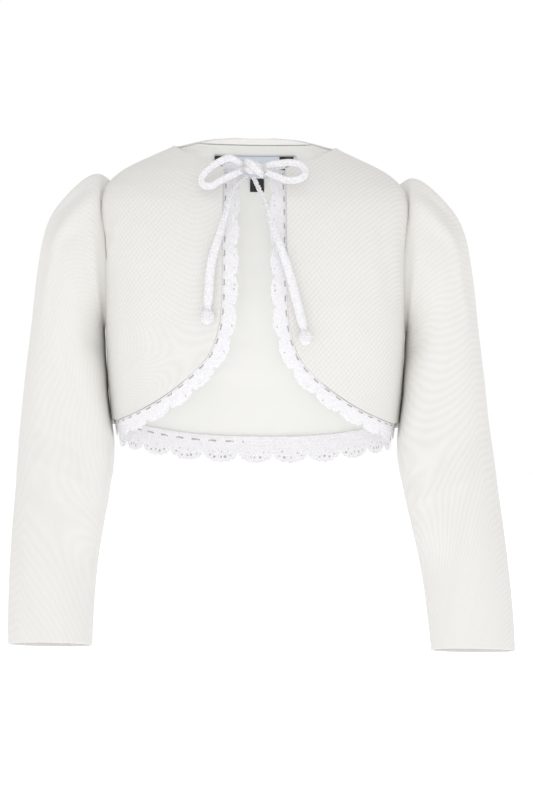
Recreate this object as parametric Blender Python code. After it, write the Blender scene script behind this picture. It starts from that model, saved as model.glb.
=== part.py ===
"""A child's bolero jacket, as it hangs on a wearer, with nobody in it.

The origin is at the wearer's neck, level with the side neck points and half way
through the body. +Z is up, the fronts face -Y, and left and right are the viewer's.
Tables are in millimetres. Each panel is a wall of cloth on one torso form, so
linings, lace and labels are the same form moved in or out by their thickness.
"""

import math

import bmesh
import bpy
from mathutils import Vector

MM = 0.001

# Thickness of each cloth, and the gap that parts two pieces at a seam
CLOTH = 1.6
LINING = 1.0
LACE = 1.3
LABEL = 0.8
SEAM = 0.3
LINING_GAP = 0.5
# What lies inside a panel clears its flat facets by this much more
FACET = 0.5

LINING_OFFSET = -(CLOTH / 2.0 + LINING_GAP + LINING / 2.0)
LABEL_OFFSET = LINING_OFFSET - LINING / 2.0 - SEAM - FACET - LABEL / 2.0
FRONT_LACE_OFFSET = -(CLOTH / 2.0 + SEAM + 1.5 * FACET + LACE / 2.0)
HEM_LACE_OFFSET = LINING_OFFSET - LINING / 2.0 - SEAM - FACET - LACE / 2.0

# The right shoulder hangs a little lower than the left: drop in height for each mm across
TILT = 0.014

# Torso form: height, half width, depth of front, depth of back, squareness of the section
TORSO = (
    (14.0, 54.0, 36.0, 42.0, 2.15),
    (6.0, 61.0, 40.0, 44.0, 2.15),
    (0.0, 67.5, 42.0, 47.0, 2.2),
    (-8.0, 84.0, 47.0, 55.0, 2.2),
    (-16.0, 101.0, 54.0, 63.0, 2.2),
    (-22.0, 111.0, 59.0, 68.0, 2.25),
    (-28.0, 118.0, 63.5, 72.0, 2.3),
    (-37.0, 125.5, 69.0, 77.0, 2.45),
    (-50.0, 129.0, 75.5, 82.0, 2.6),
    (-75.0, 126.5, 83.0, 87.0, 2.8),
    (-105.0, 124.3, 88.0, 89.5, 2.85),
    (-150.0, 123.0, 90.0, 90.0, 2.75),
    (-190.0, 120.3, 89.0, 89.5, 2.5),
    (-228.0, 116.2, 87.5, 89.0, 2.35),
    (-248.0, 115.0, 87.0, 89.5, 2.3),
    (-280.0, 114.5, 87.0, 90.0, 2.3),
)

# Edge of each front, from the side neck point: height, distance from the centre line
NECKLINE = ((-0.4, 66.3), (-4.0, 62.3), (-8.0, 57.0), (-12.0, 50.5), (-17.0, 39.0), (-21.5, 24.5))
FRONT_EDGE = (
    (-21.5, 24.5),
    (-50.0, 25.6),
    (-90.0, 26.0),
    (-125.0, 26.4),
    (-145.0, 27.8),
    (-160.0, 31.0),
    (-173.0, 36.0),
    (-185.0, 45.5),
    (-196.0, 57.5),
    (-206.0, 71.0),
    (-214.0, 84.0),
    (-221.0, 98.5),
    (-226.5, 112.0),
)
# The left front is cut a little shorter than the right: change in height of its round corner
CORNER_LIFT = {"left": 1.6, "right": -1.6}
CORNER_START = -140.0
CORNER_FULL = -185.0

# Edge of the back at the neck: height, distance from the centre line
BACK_NECK = ((12.0, 16.0), (11.2, 28.0), (9.4, 39.0), (6.6, 49.0), (3.9, 57.0), (1.6, 63.2), (0.0, 67.5))
FACING_ROWS = 3
FRONT_COLUMNS = 9
BACK_COLUMNS = 18
# Heights of the rows above and below the armhole
FRONT_TOP_ROWS = (-0.4, -3.0, -6.5, -11.0, -16.0, -21.5)
FRONT_LOW_ROWS = (-160.0, -169.0, -177.0, -185.0, -192.0, -199.0, -206.0, -212.0, -217.0, -220.5, -223.5, -226.5)
BACK_TOP_ROWS = (0.0, -6.0, -13.0, -20.5)
BACK_LOW_ROWS = (-166.0, -184.0, -202.0)
# The last rows of the back, as shares of the way down to its curved hem
HEM_ROWS = (0.4, 0.75, 1.0)
# How far the lining's ends stand in from the facing and from the hem, as a share of a row
LINING_INSET = 0.12
# Soft folds of the fronts: across, height, half width, half height, how far they stand out
FRONT_FOLDS = (
    (-86.0, -180.0, 9.0, 50.0, 1.0),
    (-106.0, -84.0, 5.0, 16.0, -1.2),
    (104.0, -96.0, 7.0, 24.0, -0.9),
    (78.0, -190.0, 12.0, 40.0, 0.7),
)
# Soft folds across the back: height, half height, how far they stand out
BACK_FOLDS = ((-196.0, 9.0, 0.9), (-128.0, 12.0, -0.8))
# The back is longest at its centre
HEM_AT_SIDE = -228.0
HEM_AT_CENTRE = -244.0

# Armhole: an oval in the side of the torso
SHOULDER_POINT = -28.0
ARMHOLE_HALF_HEIGHT = 61.0
ARMHOLE_HALF_WIDTH = 36.0
ARMHOLE_CENTRE = SHOULDER_POINT - ARMHOLE_HALF_HEIGHT
ARMHOLE_STEPS = 12
# The sleeve's seam lies this far inside the armhole's edge, and the next ring this far out
SLEEVE_SEAM_INSET = CLOTH / 2.0 + SEAM + FACET + 0.2
SLEEVE_SEAM_LIFT = CLOTH / 2.0 + 0.7

# Sleeve: outer point (across, height), inner point, centre in depth, half depth,
# and how much lower the back of the ring lies for each mm of depth
SLEEVE = (
    (127.8, -24.6, 126.4, -151.0, 0.0, 37.2, 0.0),
    (136.0, -27.0, 125.5, -152.5, 0.0, 40.0, 0.0),
    (146.0, -35.0, 125.5, -154.0, 0.0, 41.0, 0.0),
    (157.0, -47.0, 125.3, -156.0, 0.0, 42.0, 0.0),
    (166.5, -60.0, 125.0, -158.5, -0.5, 42.0, 0.0),
    (173.0, -75.0, 124.8, -161.5, -0.5, 42.0, 0.0),
    (176.5, -94.0, 124.6, -165.5, -1.0, 41.5, 0.0),
    (180.0, -118.0, 124.4, -171.5, -1.5, 41.0, 0.0),
    (183.5, -145.0, 124.0, -180.5, -2.0, 40.5, 0.01),
    (187.0, -170.0, 123.2, -192.0, -2.5, 40.0, 0.02),
    (190.0, -195.0, 121.8, -205.0, -3.0, 39.5, 0.03),
    (192.6, -221.0, 119.3, -222.5, -4.0, 39.0, 0.04),
    (194.5, -243.0, 117.0, -240.5, -5.5, 38.5, 0.06),
    (196.0, -266.0, 117.6, -259.5, -8.0, 38.0, 0.08),
    (197.8, -292.0, 121.2, -286.0, -11.0, 37.0, 0.1),
    (199.6, -318.0, 125.6, -314.0, -14.5, 36.0, 0.12),
    (201.0, -345.0, 129.6, -342.0, -18.0, 35.2, 0.13),
    (202.0, -372.0, 132.2, -370.0, -21.5, 34.5, 0.14),
    (202.4, -396.0, 133.4, -395.0, -24.6, 34.0, 0.14),
    (202.0, -412.0, 133.8, -412.0, -26.8, 33.6, 0.14),
)
SLEEVE_SQUARENESS = 2.15
SLEEVE_POINTS = 24
# The rings' points crowd towards the shoulder, where the pleats are
SLEEVE_CROWDING = 0.42
# The right forearm swings out from the elbow
ELBOW = -228.0
FOREARM_SWING = {"left": 0.0, "right": 0.06}
# Pleats of the sleeve head: angle round the ring from the shoulder, height, half width in degrees
PLEATS = ((15.0, 3.6, 7.7), (50.0, 3.8, 9.4), (-17.0, 3.4, 7.7), (-53.0, 3.6, 9.4))
PLEAT_RINGS = 9

# Lace: scallop pitch, depth of the valleys and tips below the slots, width of the hidden heading
LACE_KINDS = {
    "front": {"pitch": 23.0, "valley": 9.6, "tip": 14.2, "heading": 3.6},
    "hem": {"pitch": 31.0, "valley": 12.0, "tip": 19.6, "heading": 4.0},
}
LACE_TOP_OF_SLOT = 0.5
LACE_FOOT_OF_SLOT = 2.2
# Stations along one scallop: place along the pitch, share of the way from valley to tip
SCALLOP = ((0.0, 0.0), (0.13, 0.62), (0.37, 0.96), (0.5, 1.0), (0.63, 0.96), (0.87, 0.62))
SLOT_STATIONS = (1, 4)
# Steps along a lace's path, and the angle that it stops short of the side seam
PATH_STEPS = 60
SIDE_SEAM_GAP = 0.012

# Tie: widths, and the routes' points by hand (across, depth, height)
TIE = 6.4
KNOB_SIZE = (11.6, 7.0, 13.0)
TIE_ROUTES = {
    "tie_loop_left": (
        (-10.6, -71.0, -20.2),
        (-16.0, -72.2, -16.6),
        (-21.0, -72.6, -15.2),
        (-28.0, -73.2, -18.2),
        (-35.0, -73.6, -23.0),
        (-41.0, -74.2, -29.0),
        (-42.6, -75.2, -34.6),
        (-39.0, -76.6, -38.2),
        (-33.6, -77.6, -37.6),
        (-28.4, -77.8, -34.4),
        (-22.6, -76.8, -31.2),
        (-17.0, -75.8, -28.6),
        (-11.0, -74.0, -25.4),
    ),
    "tie_loop_right": (
        (9.2, -71.2, -20.2),
        (14.6, -72.2, -16.8),
        (21.0, -72.4, -15.4),
        (28.6, -73.0, -16.6),
        (36.4, -73.8, -19.4),
        (41.4, -74.6, -24.4),
        (39.0, -75.8, -30.2),
        (32.0, -77.0, -33.4),
        (25.0, -77.4, -32.6),
        (19.0, -76.4, -29.2),
        (9.4, -74.0, -26.0),
    ),
    "tie_tail_left": (
        (-6.2, -67.4, -28.1),
        (-14.2, -73.6, -36.4),
        (-18.0, -79.2, -44.0),
        (-21.2, -84.0, -54.0),
        (-24.2, -87.0, -65.0),
        (-27.8, -89.6, -77.0),
        (-31.2, -91.2, -88.0),
        (-33.9, -92.4, -98.0),
        (-35.6, -93.4, -110.0),
        (-36.3, -94.0, -122.5),
        (-37.2, -94.4, -137.4),
    ),
    "tie_tail_right": (
        (-1.1, -70.5, -29.5),
        (2.4, -75.2, -37.4),
        (6.2, -80.6, -46.0),
        (10.2, -84.0, -57.0),
        (14.2, -87.0, -69.0),
        (19.2, -89.6, -83.0),
        (24.2, -91.6, -97.0),
        (28.3, -93.2, -110.0),
        (31.6, -94.2, -123.0),
        (35.2, -94.8, -137.0),
        (39.4, -95.2, -153.0),
    ),
}
TIE_STEP = 5.5
KNOB_PLACES = {"tie_knob_left": (-37.4, -94.4, -144.3), "tie_knob_right": (40.4, -95.2, -159.7)}
KNOT_CENTRE = (-0.8, -69.2, -22.6)
KNOT_SIZE = (14.0, 9.0, 13.0)
KNOT_SHOULDER = 0.72
KNOT_ARM = 4.2
KNOT_ARM_ENDS = ((-24.1, -59.6, -20.2), (24.1, -59.6, -20.2))

# Labels on the inside of the back: centre across, top, bottom, half width
NECK_LABEL = (0.0, -2.6, -17.6, 35.0)
SIZE_LABEL = (1.4, -18.4, -31.6, 6.0)
LABEL_COLUMN = 4.0
SHARP_ANGLE = math.radians(40.0)

COLOURS = {
    "cloth": ((0.87, 0.86, 0.82), 0.9),
    "lining": ((0.84, 0.84, 0.82), 0.75),
    "lace": ((0.89, 0.88, 0.90), 0.85),
    "tie": ((0.90, 0.89, 0.91), 0.85),
    "label": ((0.80, 0.83, 0.86), 0.6),
    "black": ((0.02, 0.02, 0.02), 0.6),
}


def clear_scene():
    for thing in list(bpy.data.objects):
        bpy.data.objects.remove(thing, do_unlink=True)


def material(name):
    colour, roughness = COLOURS[name]
    made = bpy.data.materials.new(name)
    made.use_nodes = True
    shader = made.node_tree.nodes["Principled BSDF"]
    shader.inputs["Base Color"].default_value = (*colour, 1.0)
    shader.inputs["Roughness"].default_value = roughness
    shader.inputs["Metallic"].default_value = 0.0
    return made


def read(table, place):
    """Values of a table at a place between its rows, on a smooth curve through them."""
    rising = table[0][0] < table[-1][0]
    rows = table if rising else tuple(reversed(table))
    place = min(max(place, rows[0][0]), rows[-1][0])
    last = len(rows) - 1
    low = 0
    while low < last - 1 and rows[low + 1][0] < place:
        low += 1
    before, start, end, after = rows[max(low - 1, 0)], rows[low], rows[low + 1], rows[min(low + 2, last)]
    span = end[0] - start[0]
    step = (place - start[0]) / span
    values = []
    for column in range(1, len(start)):
        slope = (end[column] - start[column]) / span
        slope_in = mean_slope(before, start, end, column, slope)
        slope_out = mean_slope(start, end, after, column, slope)
        values.append(hermite(start[column], end[column], slope_in * span, slope_out * span, step))
    return values


def mean_slope(before, here, after, column, fallback):
    """Slope of a table's curve at a row, without overshoot where the rows turn back."""
    if before is here or after is here:
        return fallback
    first = (here[column] - before[column]) / (here[0] - before[0])
    second = (after[column] - here[column]) / (after[0] - here[0])
    if first * second <= 0.0:
        return 0.0
    return 2.0 * first * second / (first + second)


def hermite(start, end, slope_in, slope_out, step):
    square, cube = step * step, step ** 3
    return (
        (2.0 * cube - 3.0 * square + 1.0) * start
        + (cube - 2.0 * square + step) * slope_in
        + (3.0 * square - 2.0 * cube) * end
        + (cube - square) * slope_out
    )


def fullness(point):
    """Below 1 inside the torso form, 1 on it and more outside."""
    half_width, front, back, squareness = read(TORSO, point.z)
    depth = front if point.y < 0.0 else back
    return (abs(point.x) / half_width) ** squareness + (abs(point.y) / depth) ** squareness


def onto_torso(point):
    """The point moved level onto the torso form."""
    squareness = read(TORSO, point.z)[3]
    scale = fullness(point) ** (-1.0 / squareness)
    return Vector((point.x * scale, point.y * scale, point.z))


def torso(angle, height):
    """Point of the torso form at an angle from the centre front, in radians."""
    return onto_torso(Vector((math.sin(angle) * 100.0, -math.cos(angle) * 100.0, height)))


def torso_normal(point):
    step = 0.05
    slopes = []
    for axis in range(3):
        ahead, behind = point.copy(), point.copy()
        ahead[axis] += step
        behind[axis] -= step
        slopes.append(fullness(ahead) - fullness(behind))
    if abs(point.y) < 0.01:
        slopes[1] = 0.0
    return Vector(slopes).normalized()


def angle_at(across, height, front=True):
    """Angle at which the torso form is this far from the centre line."""
    half_width, front_depth, back_depth, squareness = read(TORSO, height)
    share = min(abs(across) / half_width, 1.0)
    depth = (front_depth if front else back_depth) * (1.0 - share ** squareness) ** (1.0 / squareness)
    return math.atan2(abs(across), depth if front else -depth)


def armhole_angle(height, front=True):
    """Angle of the armhole's edge, or of the side where there is no armhole."""
    rise = (height - ARMHOLE_CENTRE) / ARMHOLE_HALF_HEIGHT
    width = ARMHOLE_HALF_WIDTH * math.sqrt(max(1.0 - rise * rise, 0.0))
    if width < 0.05:
        return math.pi / 2.0
    half_width, front_depth, back_depth, squareness = read(TORSO, height)
    depth = front_depth if front else back_depth
    across = half_width * (1.0 - (width / depth) ** squareness) ** (1.0 / squareness)
    return math.atan2(across, width if front else -width)


def relief(point):
    """Soft folds of the worn cloth: how far they stand off the torso form."""
    if point.y > 0.0:
        return sum(depth * math.exp(-((point.z - height) / half_height) ** 2) for height, half_height, depth in BACK_FOLDS)
    total = 0.0
    for across, height, half_width, half_height, depth in FRONT_FOLDS:
        total += depth * math.exp(-((point.x - across) / half_width) ** 2 - ((point.z - height) / half_height) ** 2)
    return total


def place(point):
    """A point of the design in metres, with the garment's slight tilt."""
    return Vector((point.x, point.y, point.z - TILT * point.x)) * MM


def pair(point, offset, thickness, normal=None):
    """Inner and outer point of a wall whose middle lies this far off the form."""
    direction = normal or torso_normal(point)
    return (point + direction * (offset - thickness / 2.0), point + direction * (offset + thickness / 2.0))


def wall(name, rows, finish, holes=(), closed=False):
    """A closed wall from rows of (inner, outer) points. Holes are (row, column) cells left open."""
    shell = bmesh.new()
    made = [[(shell.verts.new(place(low)), shell.verts.new(place(high))) for low, high in row] for row in rows]
    columns = len(rows[0]) if closed else len(rows[0]) - 1
    cells = {(row, column) for row in range(len(rows) - 1) for column in range(columns)} - set(holes)
    wrap = len(rows[0])
    for row, column in sorted(cells):
        across = (column + 1) % wrap
        corners = (made[row][column], made[row][across], made[row + 1][across], made[row + 1][column])
        halves = ((0, 1, 2), (0, 2, 3)) if column < columns / 2 else ((0, 1, 3), (1, 2, 3))
        for half in halves:
            shell.faces.new([corners[index][1] for index in half])
            shell.faces.new([corners[index][0] for index in reversed(half)])
        left, right = (column - 1) % wrap if closed else column - 1, across if closed else column + 1
        neighbours = ((row - 1, column), (row, right), (row + 1, column), (row, left))
        for side, neighbour in enumerate(neighbours):
            if neighbour in cells:
                continue
            first, second = corners[side], corners[(side + 1) % 4]
            shell.faces.new((first[1], first[0], second[0], second[1]))
    loose = [vert for vert in shell.verts if not vert.link_faces]
    bmesh.ops.delete(shell, geom=loose, context="VERTS")
    return finish_mesh(name, shell, finish)


def finish_mesh(name, shell, finish):
    bmesh.ops.recalc_face_normals(shell, faces=shell.faces)
    mesh = bpy.data.meshes.new(name)
    shell.to_mesh(mesh)
    shell.free()
    mesh.shade_smooth()
    mesh.set_sharp_from_angle(angle=SHARP_ANGLE)
    mesh.materials.append(finish)
    thing = bpy.data.objects.new(name, mesh)
    bpy.context.collection.objects.link(thing)
    return thing


def steps(start, end, count):
    return [start + (end - start) * index / count for index in range(count + 1)]


def armhole_heights():
    return [
        ARMHOLE_CENTRE + ARMHOLE_HALF_HEIGHT * math.cos(math.pi * index / ARMHOLE_STEPS)
        for index in range(ARMHOLE_STEPS + 1)
    ]


def corner_height(height, side):
    """Height of a point of the front edge after the round corner's own lift."""
    share = min(max((CORNER_START - height) / (CORNER_START - CORNER_FULL), 0.0), 1.0)
    fade = 1.0 - max((CORNER_FULL - height) / (CORNER_FULL - FRONT_EDGE[-1][0]), 0.0)
    return height + CORNER_LIFT[side] * share * fade


def edge_across(height, side):
    """Distance of a front's cut edge from the centre line."""
    if height > FRONT_EDGE[0][0]:
        return read(NECKLINE, height)[0]
    lifted = tuple((corner_height(row[0], side), row[1]) for row in FRONT_EDGE)
    return read(lifted, height)[0]


def front(side, finish):
    """One front: level rows from its cut edge to the shoulder, armhole and side seam."""
    sign = -1.0 if side == "left" else 1.0
    rows = []
    for height in [*FRONT_TOP_ROWS, *armhole_heights(), *FRONT_LOW_ROWS]:
        first = angle_at(edge_across(height, side), height)
        last = armhole_angle(height)
        row = []
        for angle in steps(first, last, FRONT_COLUMNS):
            point = torso(sign * angle, height)
            middle = point + Vector((0.0, -SEAM / 2.0, 0.0))
            row.append(pair(middle, relief(point), CLOTH, torso_normal(point)))
        rows.append(row)
    return wall("front_" + side, rows, finish)


def back_row(height, columns, last_angle):
    """Points of the back at one height, from the left edge round to the right."""
    return [torso(angle, height) for angle in steps(-last_angle, last_angle - 2.0 * math.pi, columns)]


def hem_height(point):
    """Height of the back's cut edge, lowest at the centre."""
    share = min(abs(point.x) / read(TORSO, HEM_AT_SIDE)[0], 1.0)
    return HEM_AT_CENTRE + (HEM_AT_SIDE - HEM_AT_CENTRE) * share ** 2


def back_rows():
    """Rows of points of the whole back from its neck edge to its hem."""
    rows = []
    for height, across in BACK_NECK[:-1]:
        rows.append(back_row(height, BACK_COLUMNS, angle_at(across, height, front=False)))
    for height in [*BACK_TOP_ROWS, *armhole_heights(), *BACK_LOW_ROWS]:
        rows.append(back_row(height, BACK_COLUMNS, armhole_angle(height, front=False)))
    start = rows[-1]
    for share in HEM_ROWS:
        row = []
        for point in start:
            height = point.z + (hem_height(point) - point.z) * share
            row.append(onto_torso(Vector((point.x, point.y, height))))
        rows.append(row)
    return rows


def back_pairs(offset, thickness):
    """Wall points on the whole back, moved in by an offset."""
    shift = Vector((0.0, SEAM / 2.0, 0.0))
    return [
        [pair(point + shift, relief(point) + offset, thickness, torso_normal(point)) for point in row]
        for row in back_rows()
    ]


def part_way(row, towards, share):
    """Wall points part of the way from one row to the next."""
    return [
        (low.lerp(next_low, share), high.lerp(next_high, share))
        for (low, high), (next_low, next_high) in zip(row, towards)
    ]


def back(finish):
    return wall("back", back_pairs(0.0, CLOTH), finish)


def back_neck_facing(finish):
    """The turned-in strip along the back neck."""
    return wall("back_neck_facing", back_pairs(LINING_OFFSET, LINING)[:FACING_ROWS + 1], finish)


def back_lining(finish):
    """The lining inside the back, from under the facing to just above the hem."""
    rows = back_pairs(LINING_OFFSET, LINING)[FACING_ROWS:]
    first = part_way(rows[0], rows[1], LINING_INSET)
    last = part_way(rows[-1], rows[-2], LINING_INSET)
    return wall("back_lining", [first] + rows[1:-1] + [last], finish)


def inside_back(height, across, offset, thickness):
    """Wall points on the inside of the back, by height and distance from the centre line."""
    angle = math.copysign(angle_at(across, height, front=False), across)
    point = torso(angle, height)
    return pair(point, relief(point) + offset, thickness)


def sleeve_angle(index):
    """Angle round a sleeve ring, from the shoulder towards the front. Points crowd at the shoulder."""
    even = 2.0 * math.pi * index / SLEEVE_POINTS
    return even - SLEEVE_CROWDING * math.sin(even)


def pleat_height(angle, ring):
    """How far the pleats of the sleeve head stand up at an angle on a ring."""
    degrees = math.degrees(math.atan2(math.sin(angle), math.cos(angle)))
    fade = math.sin(math.pi * min((ring + 0.6) / PLEAT_RINGS, 1.0)) ** 0.8
    total = 0.0
    for centre, height, half_width in PLEATS:
        total += height * math.exp(-((degrees - centre) / half_width) ** 2)
    return total * fade


def oval(angle, squareness):
    """Cosine and sine of a rounded oval, even round its outline."""
    cosine, sine = math.cos(angle), math.sin(angle)
    scale = (abs(cosine) ** squareness + abs(sine) ** squareness) ** (-1.0 / squareness)
    return cosine * scale, sine * scale


def armhole_ring(lift):
    """The sleeve's seam, just inside the armhole's edge."""
    ring = []
    for index in range(SLEEVE_POINTS):
        angle = sleeve_angle(index)
        height = ARMHOLE_CENTRE + (ARMHOLE_HALF_HEIGHT - SLEEVE_SEAM_INSET) * math.cos(angle)
        depth = -(ARMHOLE_HALF_WIDTH - SLEEVE_SEAM_INSET) * math.sin(angle)
        half_width, front_depth, back_depth, squareness = read(TORSO, height)
        reach = front_depth if depth < 0.0 else back_depth
        across = half_width * (1.0 - (abs(depth) / reach) ** squareness) ** (1.0 / squareness)
        point = Vector((across, depth, height))
        ring.append(point + torso_normal(point) * lift)
    return ring


def sleeve_ring(section, number, swing):
    outer_x, outer_z, inner_x, inner_z, centre_y, half_depth, lean = section
    centre = Vector(((outer_x + inner_x) / 2.0, centre_y, (outer_z + inner_z) / 2.0))
    arm = Vector((outer_x - inner_x, 0.0, outer_z - inner_z)) / 2.0
    ring = []
    for index in range(SLEEVE_POINTS):
        angle = sleeve_angle(index)
        cosine, sine = oval(angle, SLEEVE_SQUARENESS)
        outward = (arm.normalized() * cosine + Vector((0.0, -sine, 0.0))).normalized()
        point = centre + arm * cosine + Vector((0.0, -half_depth * sine, 0.0))
        point += outward * pleat_height(angle, number)
        point.z -= lean * (point.y - centre_y)
        point.x += swing * max(ELBOW - point.z, 0.0)
        ring.append(point)
    return ring


def ring_normals(rings, number):
    """Directions out of a ring, from its neighbours along and around."""
    ring = rings[number]
    above, below = rings[max(number - 1, 0)], rings[min(number + 1, len(rings) - 1)]
    count = len(ring)
    normals = []
    for index in range(count):
        around = ring[(index + 1) % count] - ring[index - 1]
        along = below[index] - above[index]
        normals.append(around.cross(along).normalized())
    return normals


def sleeve(side, finish):
    rings = [armhole_ring(0.0), armhole_ring(SLEEVE_SEAM_LIFT)]
    rings += [sleeve_ring(section, number, FOREARM_SWING[side]) for number, section in enumerate(SLEEVE)]
    rows = []
    for number, ring in enumerate(rings):
        row = []
        for point, normal in zip(ring, ring_normals(rings, number)):
            if normal.dot(point - sum(ring, Vector()) / len(ring)) < 0.0:
                normal = -normal
            row.append(pair(point, 0.0, CLOTH, normal))
        rows.append(row)
    if side == "left":
        rows = [[tuple(Vector((-end.x, end.y, end.z)) for end in ends) for ends in row] for row in rows]
    return wall("sleeve_" + side, rows, finish, closed=True)


def path_length(path):
    return sum((second - first).length for first, second in zip(path, path[1:]))


def along(path, distance):
    """Point and direction at a distance along a path."""
    for first, second in zip(path, path[1:]):
        span = (second - first).length
        if distance <= span:
            return first.lerp(second, distance / span), (second - first).normalized()
        distance -= span
    return path[-1].copy(), (path[-1] - path[-2]).normalized()


def front_edge_path(side):
    """A front's cut edge from the neck corner to the side seam, on the torso form."""
    path = []
    bottom = corner_height(FRONT_EDGE[-1][0], side)
    for height in steps(FRONT_EDGE[0][0], bottom, PATH_STEPS):
        path.append(torso(angle_at(edge_across(height, side), height), height))
    last = angle_at(FRONT_EDGE[-1][1], bottom)
    for angle in steps(last, math.pi / 2.0 - SIDE_SEAM_GAP, 6)[1:]:
        path.append(torso(angle, bottom))
    return path


def hem_path():
    """The back's hem from the left side seam round to the right, on the torso form."""
    path = []
    for angle in steps(-math.pi / 2.0 - SIDE_SEAM_GAP, -1.5 * math.pi + SIDE_SEAM_GAP, PATH_STEPS):
        guess = torso(angle, HEM_AT_SIDE)
        path.append(onto_torso(Vector((guess.x, guess.y, hem_height(guess)))))
    return path


def lace_strip(name, path, kind, offset, hand, finish, mirrored=False):
    """A strip of lace along a path: heading, a row of slots cut through, and scallops."""
    sizes = LACE_KINDS[kind]
    length = path_length(path)
    scallops = round(length / sizes["pitch"])
    pitch = length / scallops
    stations = [(scallop + share, depth) for scallop in range(scallops) for share, depth in SCALLOP]
    stations.append((float(scallops), 0.0))
    columns = []
    for share, depth in stations:
        middle, direction = along(path, min(share * pitch, length - 0.01))
        outward = torso_normal(middle).cross(direction).normalized() * hand
        reach = sizes["valley"] + (sizes["tip"] - sizes["valley"]) * depth
        column = []
        for distance in (-sizes["heading"], LACE_TOP_OF_SLOT, LACE_FOOT_OF_SLOT, reach):
            point = onto_torso(middle + outward * distance)
            low, high = pair(point, offset, LACE)
            if mirrored:
                low, high = Vector((-low.x, low.y, low.z)), Vector((-high.x, high.y, high.z))
            column.append((low, high))
        columns.append(column)
    rows = [[column[index] for column in columns] for index in range(4)]
    holes = [(1, scallop * len(SCALLOP) + station) for scallop in range(scallops) for station in SLOT_STATIONS]
    return wall(name, rows, finish, holes=holes)


def label(name, sizes, finish):
    """A plain flat tab on the inside of the back lining."""
    centre, top, bottom, half_width = sizes
    columns = max(round(half_width / LABEL_COLUMN), 2)
    rows = []
    for height in steps(top, bottom, 3):
        places = steps(centre - half_width, centre + half_width, columns)
        rows.append([inside_back(height, across, LABEL_OFFSET, LABEL) for across in places])
    return wall(name, rows, finish)


def smooth_route(points, step):
    """Points a step apart on a smooth curve through a route's own points."""
    knots = [Vector(point) for point in points]
    knots = [knots[0] * 2.0 - knots[1]] + knots + [knots[-1] * 2.0 - knots[-2]]
    fine = []
    for index in range(1, len(knots) - 2):
        before, start, end, after = knots[index - 1:index + 3]
        for part in range(12):
            share = part / 12.0
            slope_in, slope_out = (end - before) / 2.0, (after - start) / 2.0
            fine.append(hermite(start, end, slope_in, slope_out, share))
    fine.append(knots[-2])
    length = path_length(fine)
    count = round(length / step)
    return [along(fine, length * index / count)[0] for index in range(count)] + [fine[-1]]


def tie_strand(name, finish):
    """One strand of the tie: a tube along its route."""
    curve = bpy.data.curves.new(name, "CURVE")
    curve.dimensions = "3D"
    curve.bevel_depth = TIE * MM / 2.0
    curve.bevel_resolution = 2
    curve.use_fill_caps = True
    curve.resolution_u = 1
    points = smooth_route(TIE_ROUTES[name], TIE_STEP)
    spline = curve.splines.new("POLY")
    spline.points.add(len(points) - 1)
    for target, point in zip(spline.points, points):
        target.co = (*place(point), 1.0)
    curve.materials.append(finish)
    thing = bpy.data.objects.new(name, curve)
    bpy.context.collection.objects.link(thing)
    return thing


def rounded(name, centre, size, finish, rings=6, segments=10):
    """A smooth rounded body of three widths."""
    shell = bmesh.new()
    bmesh.ops.create_uvsphere(shell, u_segments=segments, v_segments=rings, radius=0.5)
    for vert in shell.verts:
        vert.co = place(Vector(centre) + Vector([vert.co[axis] * size[axis] for axis in range(3)]))
    return finish_mesh(name, shell, finish)


def tie_knot(finish):
    """The knot and the two ends of the tie that hold it to the corners of the fronts."""
    left, right = (Vector(end) for end in KNOT_ARM_ENDS)
    centre = Vector(KNOT_CENTRE)
    stations = (
        # place from the left corner to the knot's middle to the right corner, width and depth of the tie
        (0.0, KNOT_ARM, KNOT_ARM),
        (0.5, KNOT_ARM, KNOT_ARM),
        (0.74, KNOT_SIZE[2] * KNOT_SHOULDER, KNOT_SIZE[1] * KNOT_SHOULDER),
        (1.0, KNOT_SIZE[2], KNOT_SIZE[1]),
        (1.26, KNOT_SIZE[2] * KNOT_SHOULDER, KNOT_SIZE[1] * KNOT_SHOULDER),
        (1.5, KNOT_ARM, KNOT_ARM),
        (2.0, KNOT_ARM, KNOT_ARM),
    )
    shell = bmesh.new()
    rings = []
    for share, width, depth in stations:
        middle = left.lerp(centre, share) if share <= 1.0 else centre.lerp(right, share - 1.0)
        ring = []
        for index in range(10):
            angle = 2.0 * math.pi * index / 10
            offset = Vector((0.0, math.cos(angle) * depth / 2.0, math.sin(angle) * width / 2.0))
            ring.append(shell.verts.new(place(middle + offset)))
        rings.append(ring)
    for first, second in zip(rings, rings[1:]):
        for index in range(10):
            after = (index + 1) % 10
            shell.faces.new((first[index], first[after], second[after], second[index]))
    shell.faces.new(list(reversed(rings[0])))
    shell.faces.new(rings[-1])
    return finish_mesh("tie_knot", shell, finish)


def main():
    clear_scene()
    finishes = {name: material(name) for name in COLOURS}
    back(finishes["cloth"])
    back_neck_facing(finishes["cloth"])
    back_lining(finishes["lining"])
    for side in ("left", "right"):
        front(side, finishes["cloth"])
        sleeve(side, finishes["cloth"])
        lace_strip("lace_front_" + side, front_edge_path(side), "front", FRONT_LACE_OFFSET,
                   -1.0, finishes["lace"], mirrored=side == "left")
    lace_strip("lace_back_hem", hem_path(), "hem", HEM_LACE_OFFSET, 1.0, finishes["lace"])
    label("neck_label", NECK_LABEL, finishes["label"])
    label("size_label", SIZE_LABEL, finishes["black"])
    for name in TIE_ROUTES:
        tie_strand(name, finishes["tie"])
    for name, centre in KNOB_PLACES.items():
        rounded(name, centre, KNOB_SIZE, finishes["tie"])
    tie_knot(finishes["tie"])


main()
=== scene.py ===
import math

import bmesh
import bpy
from bpy.props import FloatProperty, FloatVectorProperty, PointerProperty
from bpy.types import Operator, Panel, PropertyGroup
from mathutils import Matrix, Vector, noise


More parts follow.
